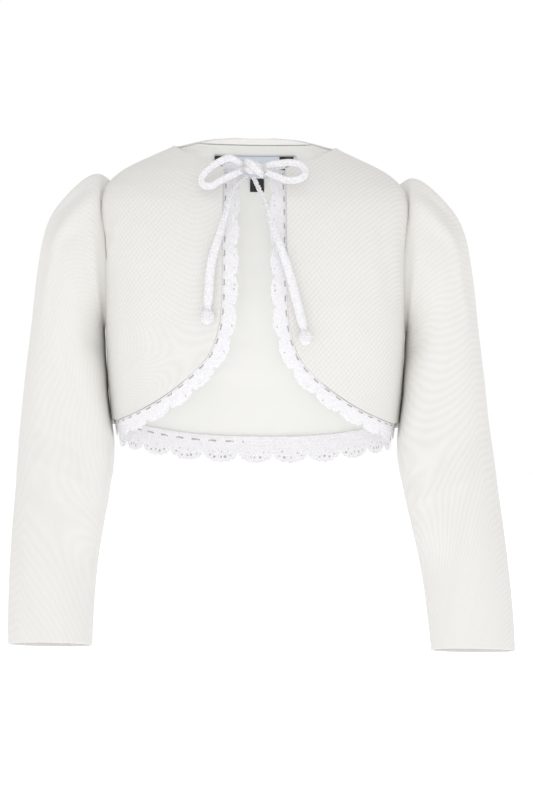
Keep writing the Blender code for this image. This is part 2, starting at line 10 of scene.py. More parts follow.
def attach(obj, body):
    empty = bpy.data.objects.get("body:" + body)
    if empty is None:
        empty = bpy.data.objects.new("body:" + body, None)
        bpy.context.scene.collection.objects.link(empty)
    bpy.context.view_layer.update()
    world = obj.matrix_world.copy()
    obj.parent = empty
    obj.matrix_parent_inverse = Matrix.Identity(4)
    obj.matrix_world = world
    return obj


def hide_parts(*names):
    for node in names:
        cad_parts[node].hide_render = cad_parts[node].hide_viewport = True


bl_info = {
    "name": "Bolero jacket",
    "version": (1, 0, 0),
    "blender": (4, 5, 0),
    "location": "3D View > Sidebar > Bolero",
    "description": "Cloth, lace, tie and labels of a child's bolero jacket in its worn form",
    "category": "Object",
}

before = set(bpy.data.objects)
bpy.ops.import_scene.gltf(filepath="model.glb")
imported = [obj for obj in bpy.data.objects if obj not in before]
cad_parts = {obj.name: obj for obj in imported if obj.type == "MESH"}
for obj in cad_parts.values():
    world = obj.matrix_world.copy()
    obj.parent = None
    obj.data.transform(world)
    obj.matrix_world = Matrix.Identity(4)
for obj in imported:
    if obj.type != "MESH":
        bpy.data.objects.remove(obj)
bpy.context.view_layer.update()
MM = 0.001

# The garment's own forms, in millimetres: its solids' forms, a little wider beside the hem.
# Torso form: height, half width, depth of front, depth of back, squareness of the section
TORSO = (
    (14.0, 54.0, 36.0, 42.0, 2.15),
    (6.0, 61.0, 40.0, 44.0, 2.15),
    (0.0, 67.5, 42.0, 47.0, 2.2),
    (-8.0, 84.0, 47.0, 55.0, 2.2),
    (-16.0, 101.0, 54.0, 63.0, 2.2),
    (-22.0, 111.0, 59.0, 68.0, 2.25),
    (-28.0, 118.0, 63.5, 72.0, 2.3),
    (-37.0, 125.5, 69.0, 77.0, 2.45),
    (-50.0, 129.0, 75.5, 82.0, 2.6),
    (-75.0, 126.5, 83.0, 87.0, 2.8),
    (-105.0, 124.3, 88.0, 89.5, 2.85),
    (-150.0, 123.0, 90.0, 90.0, 2.75),
    (-190.0, 121.4, 89.0, 89.5, 2.5),
    (-228.0, 118.0, 87.5, 89.0, 2.35),
    (-248.0, 115.6, 87.0, 89.5, 2.3),
    (-280.0, 114.5, 87.0, 90.0, 2.3),
)
NECKLINE = ((-0.4, 66.3), (-4.0, 62.3), (-8.0, 57.0), (-12.0, 50.5), (-17.0, 39.0), (-21.5, 24.5))
FRONT_EDGE = (
    (-21.5, 24.5), (-50.0, 25.6), (-90.0, 26.0), (-125.0, 26.4), (-145.0, 27.8), (-160.0, 31.0),
    (-173.0, 36.0), (-185.0, 45.5), (-196.0, 57.5), (-206.0, 71.0), (-214.0, 84.0), (-221.0, 98.5),
    (-226.5, 112.0),
)
CORNER_LIFT = {"left": 1.6, "right": -1.6}
CORNER_START = -140.0
CORNER_FULL = -185.0
BACK_NECK = ((12.0, 16.0), (11.2, 28.0), (9.4, 39.0), (6.6, 49.0), (3.9, 57.0), (1.6, 63.2), (0.0, 67.5))
HEM_AT_SIDE = -230.5
HEM_AT_CENTRE = -244.0
# Below this height the back's rows turn from level to the line of its hem, by these shares
HEM_ROWS_START = -202.0
HEM_ROWS = (0.15, 0.3, 0.45, 0.6, 0.75, 0.9, 1.0)
SHOULDER_POINT = -28.0
ARMHOLE_HALF_HEIGHT = 61.0
ARMHOLE_HALF_WIDTH = 36.0
ARMHOLE_CENTRE = SHOULDER_POINT - ARMHOLE_HALF_HEIGHT
UNDERARM = ARMHOLE_CENTRE - ARMHOLE_HALF_HEIGHT
SEAM = 0.3
# How far short of the side seams the lace stops, in radians round the body
SIDE_GAP = 0.012
TILT = 0.014
# Sleeve rings: outer point (across, height), inner point, centre in depth, half depth, lean of the back
SLEEVE = (
    (127.8, -24.6, 126.4, -151.0, 0.0, 37.2, 0.0),
    (136.0, -27.0, 125.5, -152.5, 0.0, 40.0, 0.0),
    (146.0, -35.0, 125.5, -154.0, 0.0, 41.0, 0.0),
    (157.0, -47.0, 125.3, -156.0, 0.0, 42.0, 0.0),
    (166.5, -60.0, 125.0, -158.5, -0.5, 42.0, 0.0),
    (173.0, -75.0, 124.8, -161.5, -0.5, 42.0, 0.0),
    (176.5, -94.0, 124.6, -165.5, -1.0, 41.5, 0.0),
    (180.0, -118.0, 124.4, -171.5, -1.5, 41.0, 0.0),
    (183.5, -145.0, 124.0, -180.5, -2.0, 40.5, 0.01),
    (187.0, -170.0, 123.2, -192.0, -2.5, 40.0, 0.02),
    (190.0, -195.0, 122.6, -205.0, -3.0, 39.5, 0.03),
    (192.6, -221.0, 120.6, -222.5, -4.0, 39.0, 0.04),
    (194.5, -243.0, 118.2, -240.5, -5.5, 38.5, 0.06),
    (196.0, -266.0, 118.0, -259.5, -8.0, 38.0, 0.08),
    (197.8, -292.0, 121.2, -286.0, -11.0, 37.0, 0.1),
    (199.6, -318.0, 125.6, -314.0, -14.5, 36.0, 0.12),
    (201.0, -345.0, 129.6, -342.0, -18.0, 35.2, 0.13),
    (202.0, -372.0, 132.2, -370.0, -21.5, 34.5, 0.14),
    (202.4, -396.0, 133.4, -395.0, -24.6, 34.0, 0.14),
    (202.0, -412.0, 133.8, -412.0, -26.8, 33.6, 0.14),
)
SLEEVE_SQUARENESS = 2.15
# The inner side is squarer: from none at the first of these rings to full between the middle two
SLEEVE_INNER_SQUARENESS = 5.0
SLEEVE_FULL_RINGS = (7.0, 11.0, 13.0, 16.0)
# How far a sleeve's columns crowd towards the shoulder
SLEEVE_CROWDING = 0.42
# A sleeve's length, and one degree round it
SLEEVE_LENGTH = 390.0
SLEEVE_DEGREE = 0.62
# How strong the sleeves' weave is, and the turn of its grain in degrees
SLEEVE_WEAVE = 0.4
SLEEVE_GRAIN = 9.0
SLEEVE_SEAM_INSET = 1.8
SLEEVE_SEAM_LIFT = 1.5
ELBOW = -228.0
FOREARM_SWING = {"left": 0.0, "right": 0.06}
# Pleats of the sleeve head: angle from the shoulder, height, half width in degrees
PLEATS = ((15.0, 3.6, 7.7), (50.0, 3.8, 9.4), (-17.0, 3.4, 7.7), (-53.0, 3.6, 9.4))
PLEAT_RINGS = 9.0
LINING_OFFSET = -1.8
LINING_TOP = 6.8
LINING_SHORTER = 1.5
FACING_FOOT = 6.4
FRONT_LACE_OFFSET = -2.5
HEM_LACE_OFFSET = -3.75
LABEL_OFFSET = -3.5
LABEL_THICKNESS = 0.0006
# Scallops, stitch rows and bumps; reaches of the slots; below which unevenness a hole is closed;
# and the share of the length along which the slots get painted shade
LACE_KINDS = {
    "front": {
        "pitch": 23.0, "valley": 9.8, "tip": 13.6, "heading": 3.6, "rows": 5, "bumps": 4, "bump": 0.8,
        "slots": (1.3, 2.4), "closed": 0.25, "slot_shade_share": 1.0,
    },
    "hem": {
        "pitch": 31.0, "valley": 11.6, "tip": 19.0, "heading": 4.0, "rows": 7, "bumps": 5, "bump": 1.2,
        "slots": (0.1, 1.4), "closed": -0.6, "slot_shade_share": 0.47,
    },
}
# Small holes of a scallop: share of its length, distance in from its edge, width
LACE_HOLES = {
    "front": ((0.32, 3.4, 1.2), (0.5, 3.9, 1.4), (0.68, 3.4, 1.2)),
    "hem": (
        (0.2, 4.4, 1.5), (0.35, 4.0, 1.9), (0.5, 4.8, 1.6), (0.64, 4.0, 2.2), (0.8, 4.4, 1.4),
        (0.3, 8.4, 1.2), (0.52, 8.8, 1.1), (0.72, 8.2, 1.2),
    ),
}
# Finishes of a lace, by their place on it; the stitches have the first, 0; the body between them, 1, is toned
# darker as painted shade; the last, 2, is a dark cotton that paints the shade in the holes and slots and the
# shadow line at a front's corner
BODY_FINISH, PAINTED_SHADE_FINISH = 1, 2
# Painted shadow line at a front's lower corner, a thin dark tube under the cloth's edge: reach, lift, radius;
# shares of the length; turns round its section
CORNER_SHADOW_LINE = (0.1, 1.35, 0.3)
CORNER_SHADOW_LINE_STRETCH = (0.62, 0.99)
SIXTHS = (0.0, 1.05, 2.09, 3.14, 4.19, 5.24)
STITCH_SPACING = 1.9
NET_SPACING = 0.7
SCALLOP = ((0.0, 0.0), (0.13, 0.62), (0.37, 0.96), (0.5, 1.0), (0.63, 0.96), (0.87, 0.62), (1.0, 0.0))
SLOTS = ((0.13, 0.37), (0.63, 0.87))
TIE_ROUTES = {
    "tie_loop_left": (
        (-10.6, -71.0, -20.2), (-16.0, -72.2, -16.6), (-21.0, -72.6, -15.2), (-28.0, -73.2, -18.2),
        (-35.0, -73.6, -23.0), (-41.0, -74.2, -29.0), (-42.6, -75.2, -34.6), (-39.0, -76.6, -38.2),
        (-33.6, -77.6, -37.6), (-28.4, -77.8, -34.4), (-22.6, -76.8, -31.2), (-17.0, -75.8, -28.6),
        (-11.0, -74.0, -25.4),
    ),
    "tie_loop_right": (
        (9.2, -71.2, -20.6), (14.6, -72.2, -19.6), (21.0, -72.4, -18.8), (28.6, -73.0, -18.2),
        (36.4, -73.8, -19.8), (40.6, -74.6, -24.8), (38.6, -75.8, -29.8), (32.0, -77.0, -32.4),
        (25.0, -77.4, -32.4), (18.0, -76.4, -29.8), (9.4, -74.0, -26.2),
    ),
    "tie_tail_left": (
        (-6.2, -67.4, -28.1), (-14.2, -73.6, -36.4), (-18.0, -79.2, -44.0), (-21.2, -84.0, -54.0),
        (-24.2, -87.0, -65.0), (-27.8, -89.6, -77.0), (-31.2, -91.2, -88.0), (-33.9, -92.4, -98.0),
        (-35.6, -93.4, -110.0), (-36.3, -94.0, -122.5), (-37.2, -94.4, -137.4),
    ),
    "tie_tail_right": (
        (-1.1, -70.5, -29.5), (2.4, -75.2, -37.4), (6.2, -80.6, -46.0), (10.2, -84.0, -57.0),
        (14.2, -87.0, -69.0), (19.2, -89.6, -83.0), (24.2, -91.6, -97.0), (28.3, -93.2, -110.0),
        (31.6, -94.2, -123.0), (35.2, -94.8, -137.0), (39.4, -95.2, -153.0),
    ),
}
KNOB_PLACES = {"left": (-37.4, -94.4, -143.4), "right": (40.3, -95.2, -158.8)}
KNOB_SIZE = (11.6, 7.0, 13.0)
TAPE_STEP = 1.2
KNOT_CENTRE = (-0.8, -69.2, -22.6)
KNOT_SIZE = (17.5, 7.2, 11.05)
KNOT_WRAP = (
    (-7.4, -69.0, -17.2), (-4.6, -73.2, -18.6), (0.4, -75.2, -22.6), (4.6, -73.6, -26.8), (6.6, -69.4, -28.6),
)
KNOT_ARM_ENDS = ((-24.1, -59.6, -20.2), (24.1, -59.6, -20.2))
# Labels: middle, top, foot, half width
NECK_LABEL = (0.0, -0.9, -17.6, 35.0)
SIZE_LABEL = (1.4, -18.4, -29.2, 6.0)
# Where the black ends of the neck label start and end across it
LABEL_BANDS = ((-37.0, -29.6), (19.6, 32.0))

# Soft folds, placed one by one as seen from the front, and their like on the back:
# start (across, height), end, half width, how far they stand out
FRONT_FOLDS = (
    ((-90.0, -142.0), (-84.0, -222.0), 9.0, 1.0),
    ((-102.0, -140.0), (-97.0, -218.0), 6.0, -0.7),
    ((-119.0, -74.0), (-124.0, -95.0), 4.0, -1.2),
    ((-112.0, -70.0), (-117.0, -92.0), 4.0, 0.8),
    ((104.0, -78.0), (108.0, -118.0), 6.0, -0.9),
    ((96.0, -80.0), (99.0, -116.0), 6.0, 0.5),
    ((78.0, -158.0), (72.0, -215.0), 11.0, 0.7),
    ((60.0, -60.0), (88.0, -46.0), 7.0, 0.4),
    ((-60.0, -56.0), (-92.0, -44.0), 7.0, 0.4),
    ((-46.0, -118.0), (-60.0, -168.0), 12.0, -0.5),
    ((44.0, -110.0), (52.0, -160.0), 12.0, -0.4),
)
BACK_FOLDS = (
    ((-96.0, -196.0), (92.0, -198.0), 8.0, 0.9),
    ((-90.0, -128.0), (96.0, -127.0), 11.0, -0.8),
    ((-64.0, -212.0), (18.0, -206.0), 5.0, 0.5),
    ((-12.0, -168.0), (58.0, -174.0), 7.0, -0.5),
    ((-100.0, -70.0), (-58.0, -96.0), 9.0, 0.6),
    ((100.0, -72.0), (60.0, -98.0), 9.0, 0.6),
)
# The same for the sleeves: start (angle round from the shoulder in degrees, share of the length), end,
# half width in mm, how far they stand out
SLEEVE_FOLDS = {
    "left": (
        ((62.0, 0.1), (40.0, 0.24), 3.4, -1.5),
        ((30.0, 0.07), (14.0, 0.2), 3.0, -1.4),
        ((100.0, 0.16), (84.0, 0.34), 6.0, -0.7),
        ((120.0, 0.5), (60.0, 0.54), 6.0, -0.8),
        ((130.0, 0.57), (70.0, 0.6), 6.0, 0.8),
        ((140.0, 0.62), (90.0, 0.66), 5.0, -0.5),
        ((-120.0, 0.5), (-60.0, 0.55), 6.0, -0.8),
        ((-130.0, 0.57), (-70.0, 0.61), 6.0, 0.7),
        ((-35.0, 0.08), (-18.0, 0.2), 3.2, -1.4),
        ((-66.0, 0.1), (-44.0, 0.25), 3.6, -1.4),
    ),
    "right": (
        ((60.0, 0.1), (42.0, 0.25), 3.4, -1.5),
        ((31.0, 0.07), (16.0, 0.19), 3.0, -1.3),
        ((102.0, 0.15), (88.0, 0.32), 6.0, -0.6),
        ((118.0, 0.52), (58.0, 0.55), 6.0, -0.8),
        ((132.0, 0.58), (74.0, 0.62), 6.0, 0.8),
        ((-118.0, 0.52), (-58.0, 0.56), 6.0, -0.8),
        ((-132.0, 0.59), (-74.0, 0.62), 6.0, 0.7),
        ((-34.0, 0.08), (-17.0, 0.2), 3.2, -1.4),
        ((-64.0, 0.1), (-45.0, 0.26), 3.6, -1.4),
    ),
}


# The stage, in metres: lights by name, place, what they face, size, and the setting with their power
LIGHTS = (
    ("Front light", (0.0, -2.5, -0.18), (0.0, 0.0, -0.2), 0.3, "key"),
    ("Rear light", (0.3, 2.6, 0.5), (0.0, 0.0, -0.2), 1.2, "rear"),
    ("Top light", (-0.2, -0.8, 1.8), (0.0, 0.0, -0.1), 0.8, "top"),
    ("Inside light", (0.0, -0.03, -0.13), (0.0, 0.07, -0.11), 0.14, "inside"),
)
FLOOR_REACH = 12.0
FLOOR_GLOW = 0.42
CAMERA_PLACE = (0.0095, -2.2, -0.209)
# Height of what the camera sees at the jacket, and the sensor that its lens is set by, in millimetres
VIEW_HEIGHT = 0.664
SENSOR = 36.0

LENGTH = {"subtype": "DISTANCE", "unit": "LENGTH"}
COLOUR = {"subtype": "COLOR", "size": 3, "min": 0.0, "max": 1.0}


class BoleroCloth(PropertyGroup):
    thickness: FloatProperty(
        name="Cloth thickness", description="Thickness of the honeycomb cloth", default=0.0013, **LENGTH)
    lining_thickness: FloatProperty(
        name="Lining thickness", description="Thickness of the lining", default=0.0007, **LENGTH)
    cell_width: FloatProperty(
        name="Cell width", description="Width of one cell of the honeycomb weave", default=0.0042, **LENGTH)
    cell_row: FloatProperty(
        name="Cell row", description="Distance between two rows of cells", default=0.0024, **LENGTH)
    colour: FloatVectorProperty(
        name="Cloth colour", description="Colour of the yarn", default=(0.80, 0.79, 0.765), **COLOUR)
    # The cell colour is painted shade down in the cells of the weave.
    cell_shade_colour: FloatVectorProperty(
        name="Cell colour", description="Colour down in the cells of the weave",
        default=(0.66, 0.645, 0.61), **COLOUR)
    lining_colour: FloatVectorProperty(
        name="Lining colour", description="Colour of the lining", default=(0.96, 0.943, 0.938), **COLOUR)


class BoleroLace(PropertyGroup):
    yarn: FloatProperty(
        name="Yarn", description="Width of one stitch of the lace", default=0.0015, **LENGTH)
    net: FloatProperty(
        name="Body thickness", description="Thickness of the lace's body between the stitches",
        default=0.0007, **LENGTH)
    colour: FloatVectorProperty(
        name="Lace colour", description="Colour of the lace's cotton",
        default=(0.91, 0.90, 0.925), **COLOUR)
    shade_colour: FloatVectorProperty(
        name="Shade colour", description="Colour between the stitches",
        default=(0.78, 0.77, 0.80), **COLOUR)
    # This colour is painted shade: the dark of the lace's holes and slots, and the shadow line under a
    # front's cloth edge.
    painted_shade_colour: FloatVectorProperty(
        name="Seam colour", description="Colour of the shaded seam under the lace and the cloth's edge",
        default=(0.48, 0.45, 0.435), **COLOUR)


class BoleroTie(PropertyGroup):
    width: FloatProperty(
        name="Tape width", description="Width of the crocheted tape", default=0.0070, **LENGTH)
    thickness: FloatProperty(
        name="Tape thickness", description="Thickness of the crocheted tape", default=0.0034, **LENGTH)
    stitch: FloatProperty(
        name="Stitch length", description="Length of one stitch along the tape", default=0.003, **LENGTH)
    colour: FloatVectorProperty(
        name="Tie colour", description="Colour of the tie's cotton", default=(0.84, 0.83, 0.85), **COLOUR)


class BoleroLabels(PropertyGroup):
    colour: FloatVectorProperty(
        name="Label colour", description="Colour of the label's middle",
        default=(0.72, 0.77, 0.86), **COLOUR)
    black: FloatVectorProperty(
        name="Tape colour", description="Colour of the label's ends and of the tab",
        default=(0.012, 0.012, 0.014), **COLOUR)


class BoleroStage(PropertyGroup):
    floor_height: FloatProperty(
        name="Floor height", description="Height of the floor below the neck", default=-0.62, **LENGTH)
    sky: FloatProperty(
        name="Room light", description="Strength of the light that the white room gives", default=0.8)
    key: FloatProperty(
        name="Front light", description="Power of the soft light beside the camera", default=7.0)
    rear: FloatProperty(name="Rear light", description="Power of the soft light behind", default=12.0)
    top: FloatProperty(name="Top light", description="Power of the soft light above", default=2.0)
    inside: FloatProperty(
        name="Inside light", description="Power of the small light inside the jacket that lifts its lining",
        default=0.042)


class BoleroSettings(PropertyGroup):
    cloth: PointerProperty(type=BoleroCloth)
    lace: PointerProperty(type=BoleroLace)
    tie: PointerProperty(type=BoleroTie)
    labels: PointerProperty(type=BoleroLabels)
    stage: PointerProperty(type=BoleroStage)


def read(table, place):
    """Values of a table at a place between its rows, on a smooth curve through them."""
    rising = table[0][0] < table[-1][0]
    rows = table if rising else tuple(reversed(table))
    place = min(max(place, rows[0][0]), rows[-1][0])
    last = len(rows) - 1
    low = 0
    while low < last - 1 and rows[low + 1][0] < place:
        low += 1
    before, start, end, after = rows[max(low - 1, 0)], rows[low], rows[low + 1], rows[min(low + 2, last)]
    span = end[0] - start[0]
    step = (place - start[0]) / span
    values = []
    for column in range(1, len(start)):
        slope = (end[column] - start[column]) / span
        slope_in = mean_slope(before, start, end, column, slope)
        slope_out = mean_slope(start, end, after, column, slope)
        values.append(hermite(start[column], end[column], slope_in * span, slope_out * span, step))
    return values


def mean_slope(before, here, after, column, fallback):
    """Slope of a table's curve at a row, without overshoot where the rows turn back."""
    if before is here or after is here:
        return fallback
    first = (here[column] - before[column]) / (here[0] - before[0])
    second = (after[column] - here[column]) / (after[0] - here[0])
    if first * second <= 0.0:
        return 0.0
    return 2.0 * first * second / (first + second)


def hermite(start, end, slope_in, slope_out, step):
    square, cube = step * step, step**3
    return (
        (2.0 * cube - 3.0 * square + 1.0) * start
        + (cube - 2.0 * square + step) * slope_in
        + (3.0 * square - 2.0 * cube) * end
        + (cube - square) * slope_out
    )


def path_length(path):
    return sum((second - first).length for first, second in zip(path, path[1:]))


def oval_reach(half, share, squareness):
    """How far a rounded oval reaches one way, at a share of its reach the other way."""
    return half * (1.0 - share**squareness) ** (1.0 / squareness)


def signed_degrees(angle):
    return math.degrees(math.atan2(math.sin(angle), math.cos(angle)))


def fullness(point, section=None):
    """Below 1 inside the torso form, 1 on it and more outside."""
    half_width, front, back, squareness = section or read(TORSO, point.z)
    depth = front if point.y < 0.0 else back
    return (abs(point.x) / half_width) ** squareness + (abs(point.y) / depth) ** squareness


def onto_torso(point):
    """The point moved level onto the torso form."""
    section = read(TORSO, point.z)
    scale = fullness(point, section) ** (-1.0 / section[3])
    return Vector((point.x * scale, point.y * scale, point.z))


def torso(angle, height):
    """Point of the torso form at an angle from the centre front, in radians."""
    return onto_torso(Vector((math.sin(angle) * 100.0, -math.cos(angle) * 100.0, height)))


def torso_normal(point):
    step = 0.05
    section = read(TORSO, point.z)
    slopes = []
    for axis in range(3):
        ahead, behind = point.copy(), point.copy()
        ahead[axis] += step
        behind[axis] -= step
        same = section if axis < 2 else None
        slopes.append(fullness(ahead, same) - fullness(behind, same))
    if abs(point.y) < 0.01:
        slopes[1] = 0.0
    return Vector(slopes).normalized()


def angle_at(across, height, front=True):
    """Angle at which the torso form is this far from the centre line."""
    half_width, front_depth, back_depth, squareness = read(TORSO, height)
    share = min(abs(across) / half_width, 1.0)
    depth = oval_reach(front_depth if front else back_depth, share, squareness)
    return math.atan2(abs(across), depth if front else -depth)


def armhole_angle(height, front=True):
    """Angle of the armhole's edge, or of the side where there is no armhole."""
    rise = (height - ARMHOLE_CENTRE) / ARMHOLE_HALF_HEIGHT
    width = ARMHOLE_HALF_WIDTH * math.sqrt(max(1.0 - rise * rise, 0.0))
    if width < 0.05:
        return math.pi / 2.0
    half_width, front_depth, back_depth, squareness = read(TORSO, height)
    depth = front_depth if front else back_depth
    across = oval_reach(half_width, width / depth, squareness)
    return math.atan2(across, width if front else -width)


def corner_height(height, side):
    share = min(max((CORNER_START - height) / (CORNER_START - CORNER_FULL), 0.0), 1.0)
    fade = 1.0 - max((CORNER_FULL - height) / (CORNER_FULL - FRONT_EDGE[-1][0]), 0.0)
    return height + CORNER_LIFT[side] * share * fade


def edge_across(height, side):
    """Distance of a front's cut edge from the centre line."""
    if height > FRONT_EDGE[0][0]:
        return read(NECKLINE, height)[0]
    lifted = tuple((corner_height(row[0], side), row[1]) for row in FRONT_EDGE)
    return read(lifted, height)[0]


def hem_height(point):
    """Height of the back's cut edge, lowest at the centre."""
    share = min(abs(point.x) / read(TORSO, HEM_AT_SIDE)[0], 1.0)
    return HEM_AT_CENTRE + (HEM_AT_SIDE - HEM_AT_CENTRE) * share**2.8


def place(point):
    """A point of the design in metres, with the garment's slight tilt."""
    return Vector((point.x, point.y, point.z - TILT * point.x)) * MM


def crease(first, second, start, end, half_width, height):
    """How far a fold stands out at a spot, fading towards both of its ends."""
    run, rise = end[0] - start[0], end[1] - start[1]
    length = math.hypot(run, rise)
    share = ((first - start[0]) * run + (second - start[1]) * rise) / (length * length)
    aside = ((first - start[0]) * rise - (second - start[1]) * run) / length
    overshoot = max(-share, share - 1.0, 0.0) * length / (0.25 * length + half_width)
    swell = 0.75 + 0.25 * math.sin(9.0 * share + start[0])
    return height * swell * math.exp(-((aside / half_width) ** 2) - overshoot * overshoot)


def relief(point, back_side):
    """Soft folds of the worn cloth: how far they stand off the torso form."""
    folds = BACK_FOLDS if back_side else FRONT_FOLDS
    total = sum(crease(point.x, point.z, *fold) for fold in folds)
    spot = Vector((point.x * 0.018, point.y * 0.018, point.z * 0.012))
    return total + 0.45 * noise.noise(spot)


def span_of(heights, count):
    """Heights spaced evenly between a few fixed ones, so that edges fall on rows."""
    total = heights[0] - heights[-1]
    spread = []
    for first, second in zip(heights, heights[1:]):
        parts = max(round(count * (first - second) / total), 1)
        spread += [first + (second - first) * part / parts for part in range(parts)]
    return spread + [heights[-1]]


def mesh_of(name, work):
    mesh = bpy.data.meshes.new(name)
    work.to_mesh(mesh)
    work.free()
    return mesh


def finished_piece(name, work, *finishes):
    """An object with what was worked in bmesh, smooth all over and with its finishes."""
    for face in work.faces:
        face.smooth = True
    mesh = mesh_of(name, work)
    for finish in finishes:
        mesh.materials.append(finish)
    piece = bpy.data.objects.new(name, mesh)
    bpy.context.collection.objects.link(piece)
    return piece


def lay_grid(name, points, finish, thickness, closed=False, turned=0.0, flip=False):
    """A panel of cloth: a grid laid on rows of points, with lengths along the cloth as its UV."""
    rows, columns = len(points) - 1, len(points[0]) - 1
    cloth = bmesh.new()
    bmesh.ops.create_grid(cloth, x_segments=columns, y_segments=rows, size=0.5)
    spots = {}
    for vert in cloth.verts:
        spots[vert] = (round((0.5 - vert.co.y) * rows), round((vert.co.x + 0.5) * columns))
    across, down = cloth_coordinates(points)
    uv = cloth.loops.layers.uv.new("Cloth")
    cosine, sine = math.cos(turned), math.sin(turned)
    for face in cloth.faces:
        for loop in face.loops:
            row, column = spots[loop.vert]
            first, second = across[row][column], -down[row][column]
            loop[uv].uv = (first * cosine - second * sine, first * sine + second * cosine)
    for vert, (row, column) in spots.items():
        vert.co = points[row][column]
    if closed:
        bmesh.ops.remove_doubles(cloth, verts=cloth.verts, dist=0.00002)
    if flip:
        bmesh.ops.reverse_faces(cloth, faces=cloth.faces)
    piece = finished_piece(name, cloth, finish)
    shell = piece.modifiers.new("Cloth thickness", "SOLIDIFY")
    shell.thickness = thickness
    shell.offset = 0.0
    shell.use_even_offset = True
    rim = piece.modifiers.new("Soft edge", "BEVEL")
    rim.limit_method = "ANGLE"
    rim.angle_limit = math.radians(50.0)
    rim.width = thickness * 0.35
    rim.segments = 2
    return piece


def cloth_coordinates(points):
    """Lengths along the cloth, across and down, at each point of a grid."""
    across = []
    for row in points:
        steps = [0.0]
        for first, second in zip(row, row[1:]):
            steps.append(steps[-1] + (second - first).length)
        across.append(steps)
    # each row is measured from its middle of the body, so that the grain stays straight
    for row, steps in zip(points, across):
        start = grain_start(row)
        for column in range(len(steps)):
            steps[column] += start
    down = [[0.0] * len(points[0])]
    for index in range(1, len(points)):
        line = []
        for column in range(len(points[0])):
            step = (points[index][column] - points[index - 1][column]).length
            shift = across[index][column] - across[index - 1][column]
            line.append(down[-1][column] + math.sqrt(max(step * step - shift * shift, 0.0)))
        down.append(line)
    return across, down


def grain_start(row):
    """Where a row of cloth starts, measured round the body from its centre line."""
    first = row[0]
    if abs(row[-1].x - first.x) < 0.001:
        return 0.0
    return math.copysign(abs(first.x) * 1.04, first.x)


def ride(piece, nodes):
    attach(piece, "root")
    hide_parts(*nodes)
    return piece


def front_points(side):
    """Rows of points of one front, from its cut edge to the shoulder, armhole and side seam."""
    columns, rows = 64, 130
    sign = -1.0 if side == "left" else 1.0
    shift = Vector((0.0, -SEAM / 2.0, 0.0))
    turns = [NECKLINE[0][0], FRONT_EDGE[0][0], SHOULDER_POINT, UNDERARM, CORNER_FULL, FRONT_EDGE[-1][0]]
    points = []
    for height in span_of(turns, rows):
        first = angle_at(edge_across(height, side), height)
        last = armhole_angle(height)
        row = []
        for column in range(columns + 1):
            angle = first + (last - first) * column / columns
            spot = torso(sign * angle, height)
            row.append(place(spot + torso_normal(spot) * relief(spot, False) + shift))
        points.append(row)
    return points


def back_points(offset, rows=130, top=None, foot=0.0):
    """Rows of points of the back from its neck edge to its hem, moved in by an offset."""
    columns = 110
    points = []
    turns = [BACK_NECK[0][0], BACK_NECK[3][0], BACK_NECK[-1][0], SHOULDER_POINT, UNDERARM, HEM_ROWS_START]
    for height in span_of(turns, rows):
        if height > 0.0:
            last = angle_at(read(BACK_NECK, height)[0], height, front=False)
        else:
            last = armhole_angle(height, front=False)
        round_back = 2.0 * math.pi - 2.0 * last
        points.append([torso(-last - round_back * column / columns, height) for column in range(columns + 1)])
    start = points[-1]
    for share in HEM_ROWS:
        row = []
        for spot in start:
            height = spot.z + (hem_height(spot) + foot - spot.z) * share
            row.append(onto_torso(Vector((spot.x, spot.y, height))))
        points.append(row)
    if top is not None:
        points = [row for row in points if row[0].z <= top]
    shift = Vector((0.0, SEAM / 2.0, 0.0))
    return [
        [place(spot + shift + torso_normal(spot) * (relief(spot, True) + offset)) for spot in row]
        for row in points
    ]


def oval(angle, squareness):
    """Cosine and sine of a rounded oval, even round its outline."""
    cosine, sine = math.cos(angle), math.sin(angle)
    scale = (abs(cosine) ** squareness + abs(sine) ** squareness) ** (-1.0 / squareness)
    return cosine * scale, sine * scale


def armhole_point(angle, lift):
    """A point of the sleeve's seam, just inside the armhole's edge."""
    height = ARMHOLE_CENTRE + (ARMHOLE_HALF_HEIGHT - SLEEVE_SEAM_INSET) * math.cos(angle)
    depth = -(ARMHOLE_HALF_WIDTH - SLEEVE_SEAM_INSET) * math.sin(angle)
    half_width, front_depth, back_depth, squareness = read(TORSO, height)
    reach = front_depth if depth < 0.0 else back_depth
    point = Vector((oval_reach(half_width, abs(depth) / reach, squareness), depth, height))
    return point + torso_normal(point) * lift


def pleat_height(angle, ring):
    degrees = signed_degrees(angle)
    fade = math.sin(math.pi * min((ring + 0.6) / PLEAT_RINGS, 1.0)) ** 0.8
    return fade * sum(
        height * math.exp(-(((degrees - centre) / half_width) ** 2)) for centre, height, half_width in PLEATS)


def sleeve_point(section, ring, angle, swing):
    """A point of a sleeve's ring. Its inner side is squarer, so that it fills out towards the body."""
    outer_x, outer_z, inner_x, inner_z, centre_y, half_depth, lean = section
    centre = Vector(((outer_x + inner_x) / 2.0, centre_y, (outer_z + inner_z) / 2.0))
    arm = Vector((outer_x - inner_x, 0.0, outer_z - inner_z)) / 2.0
    first, full, still, last = SLEEVE_FULL_RINGS
    squareness = SLEEVE_SQUARENESS
    if math.cos(angle) < 0.0:
        share = max(min((ring - first) / (full - first), (last - ring) / (last - still), 1.0), 0.0)
        squareness += (SLEEVE_INNER_SQUARENESS - SLEEVE_SQUARENESS) * share
    cosine, sine = oval(angle, squareness)
    outward = (arm.normalized() * cosine + Vector((0.0, -sine, 0.0))).normalized()
    point = centre + arm * cosine + Vector((0.0, -half_depth * sine, 0.0))
    point += outward * pleat_height(angle, ring)
    point.z -= lean * (point.y - centre_y)
    point.x += swing * max(ELBOW - point.z, 0.0)
    return point


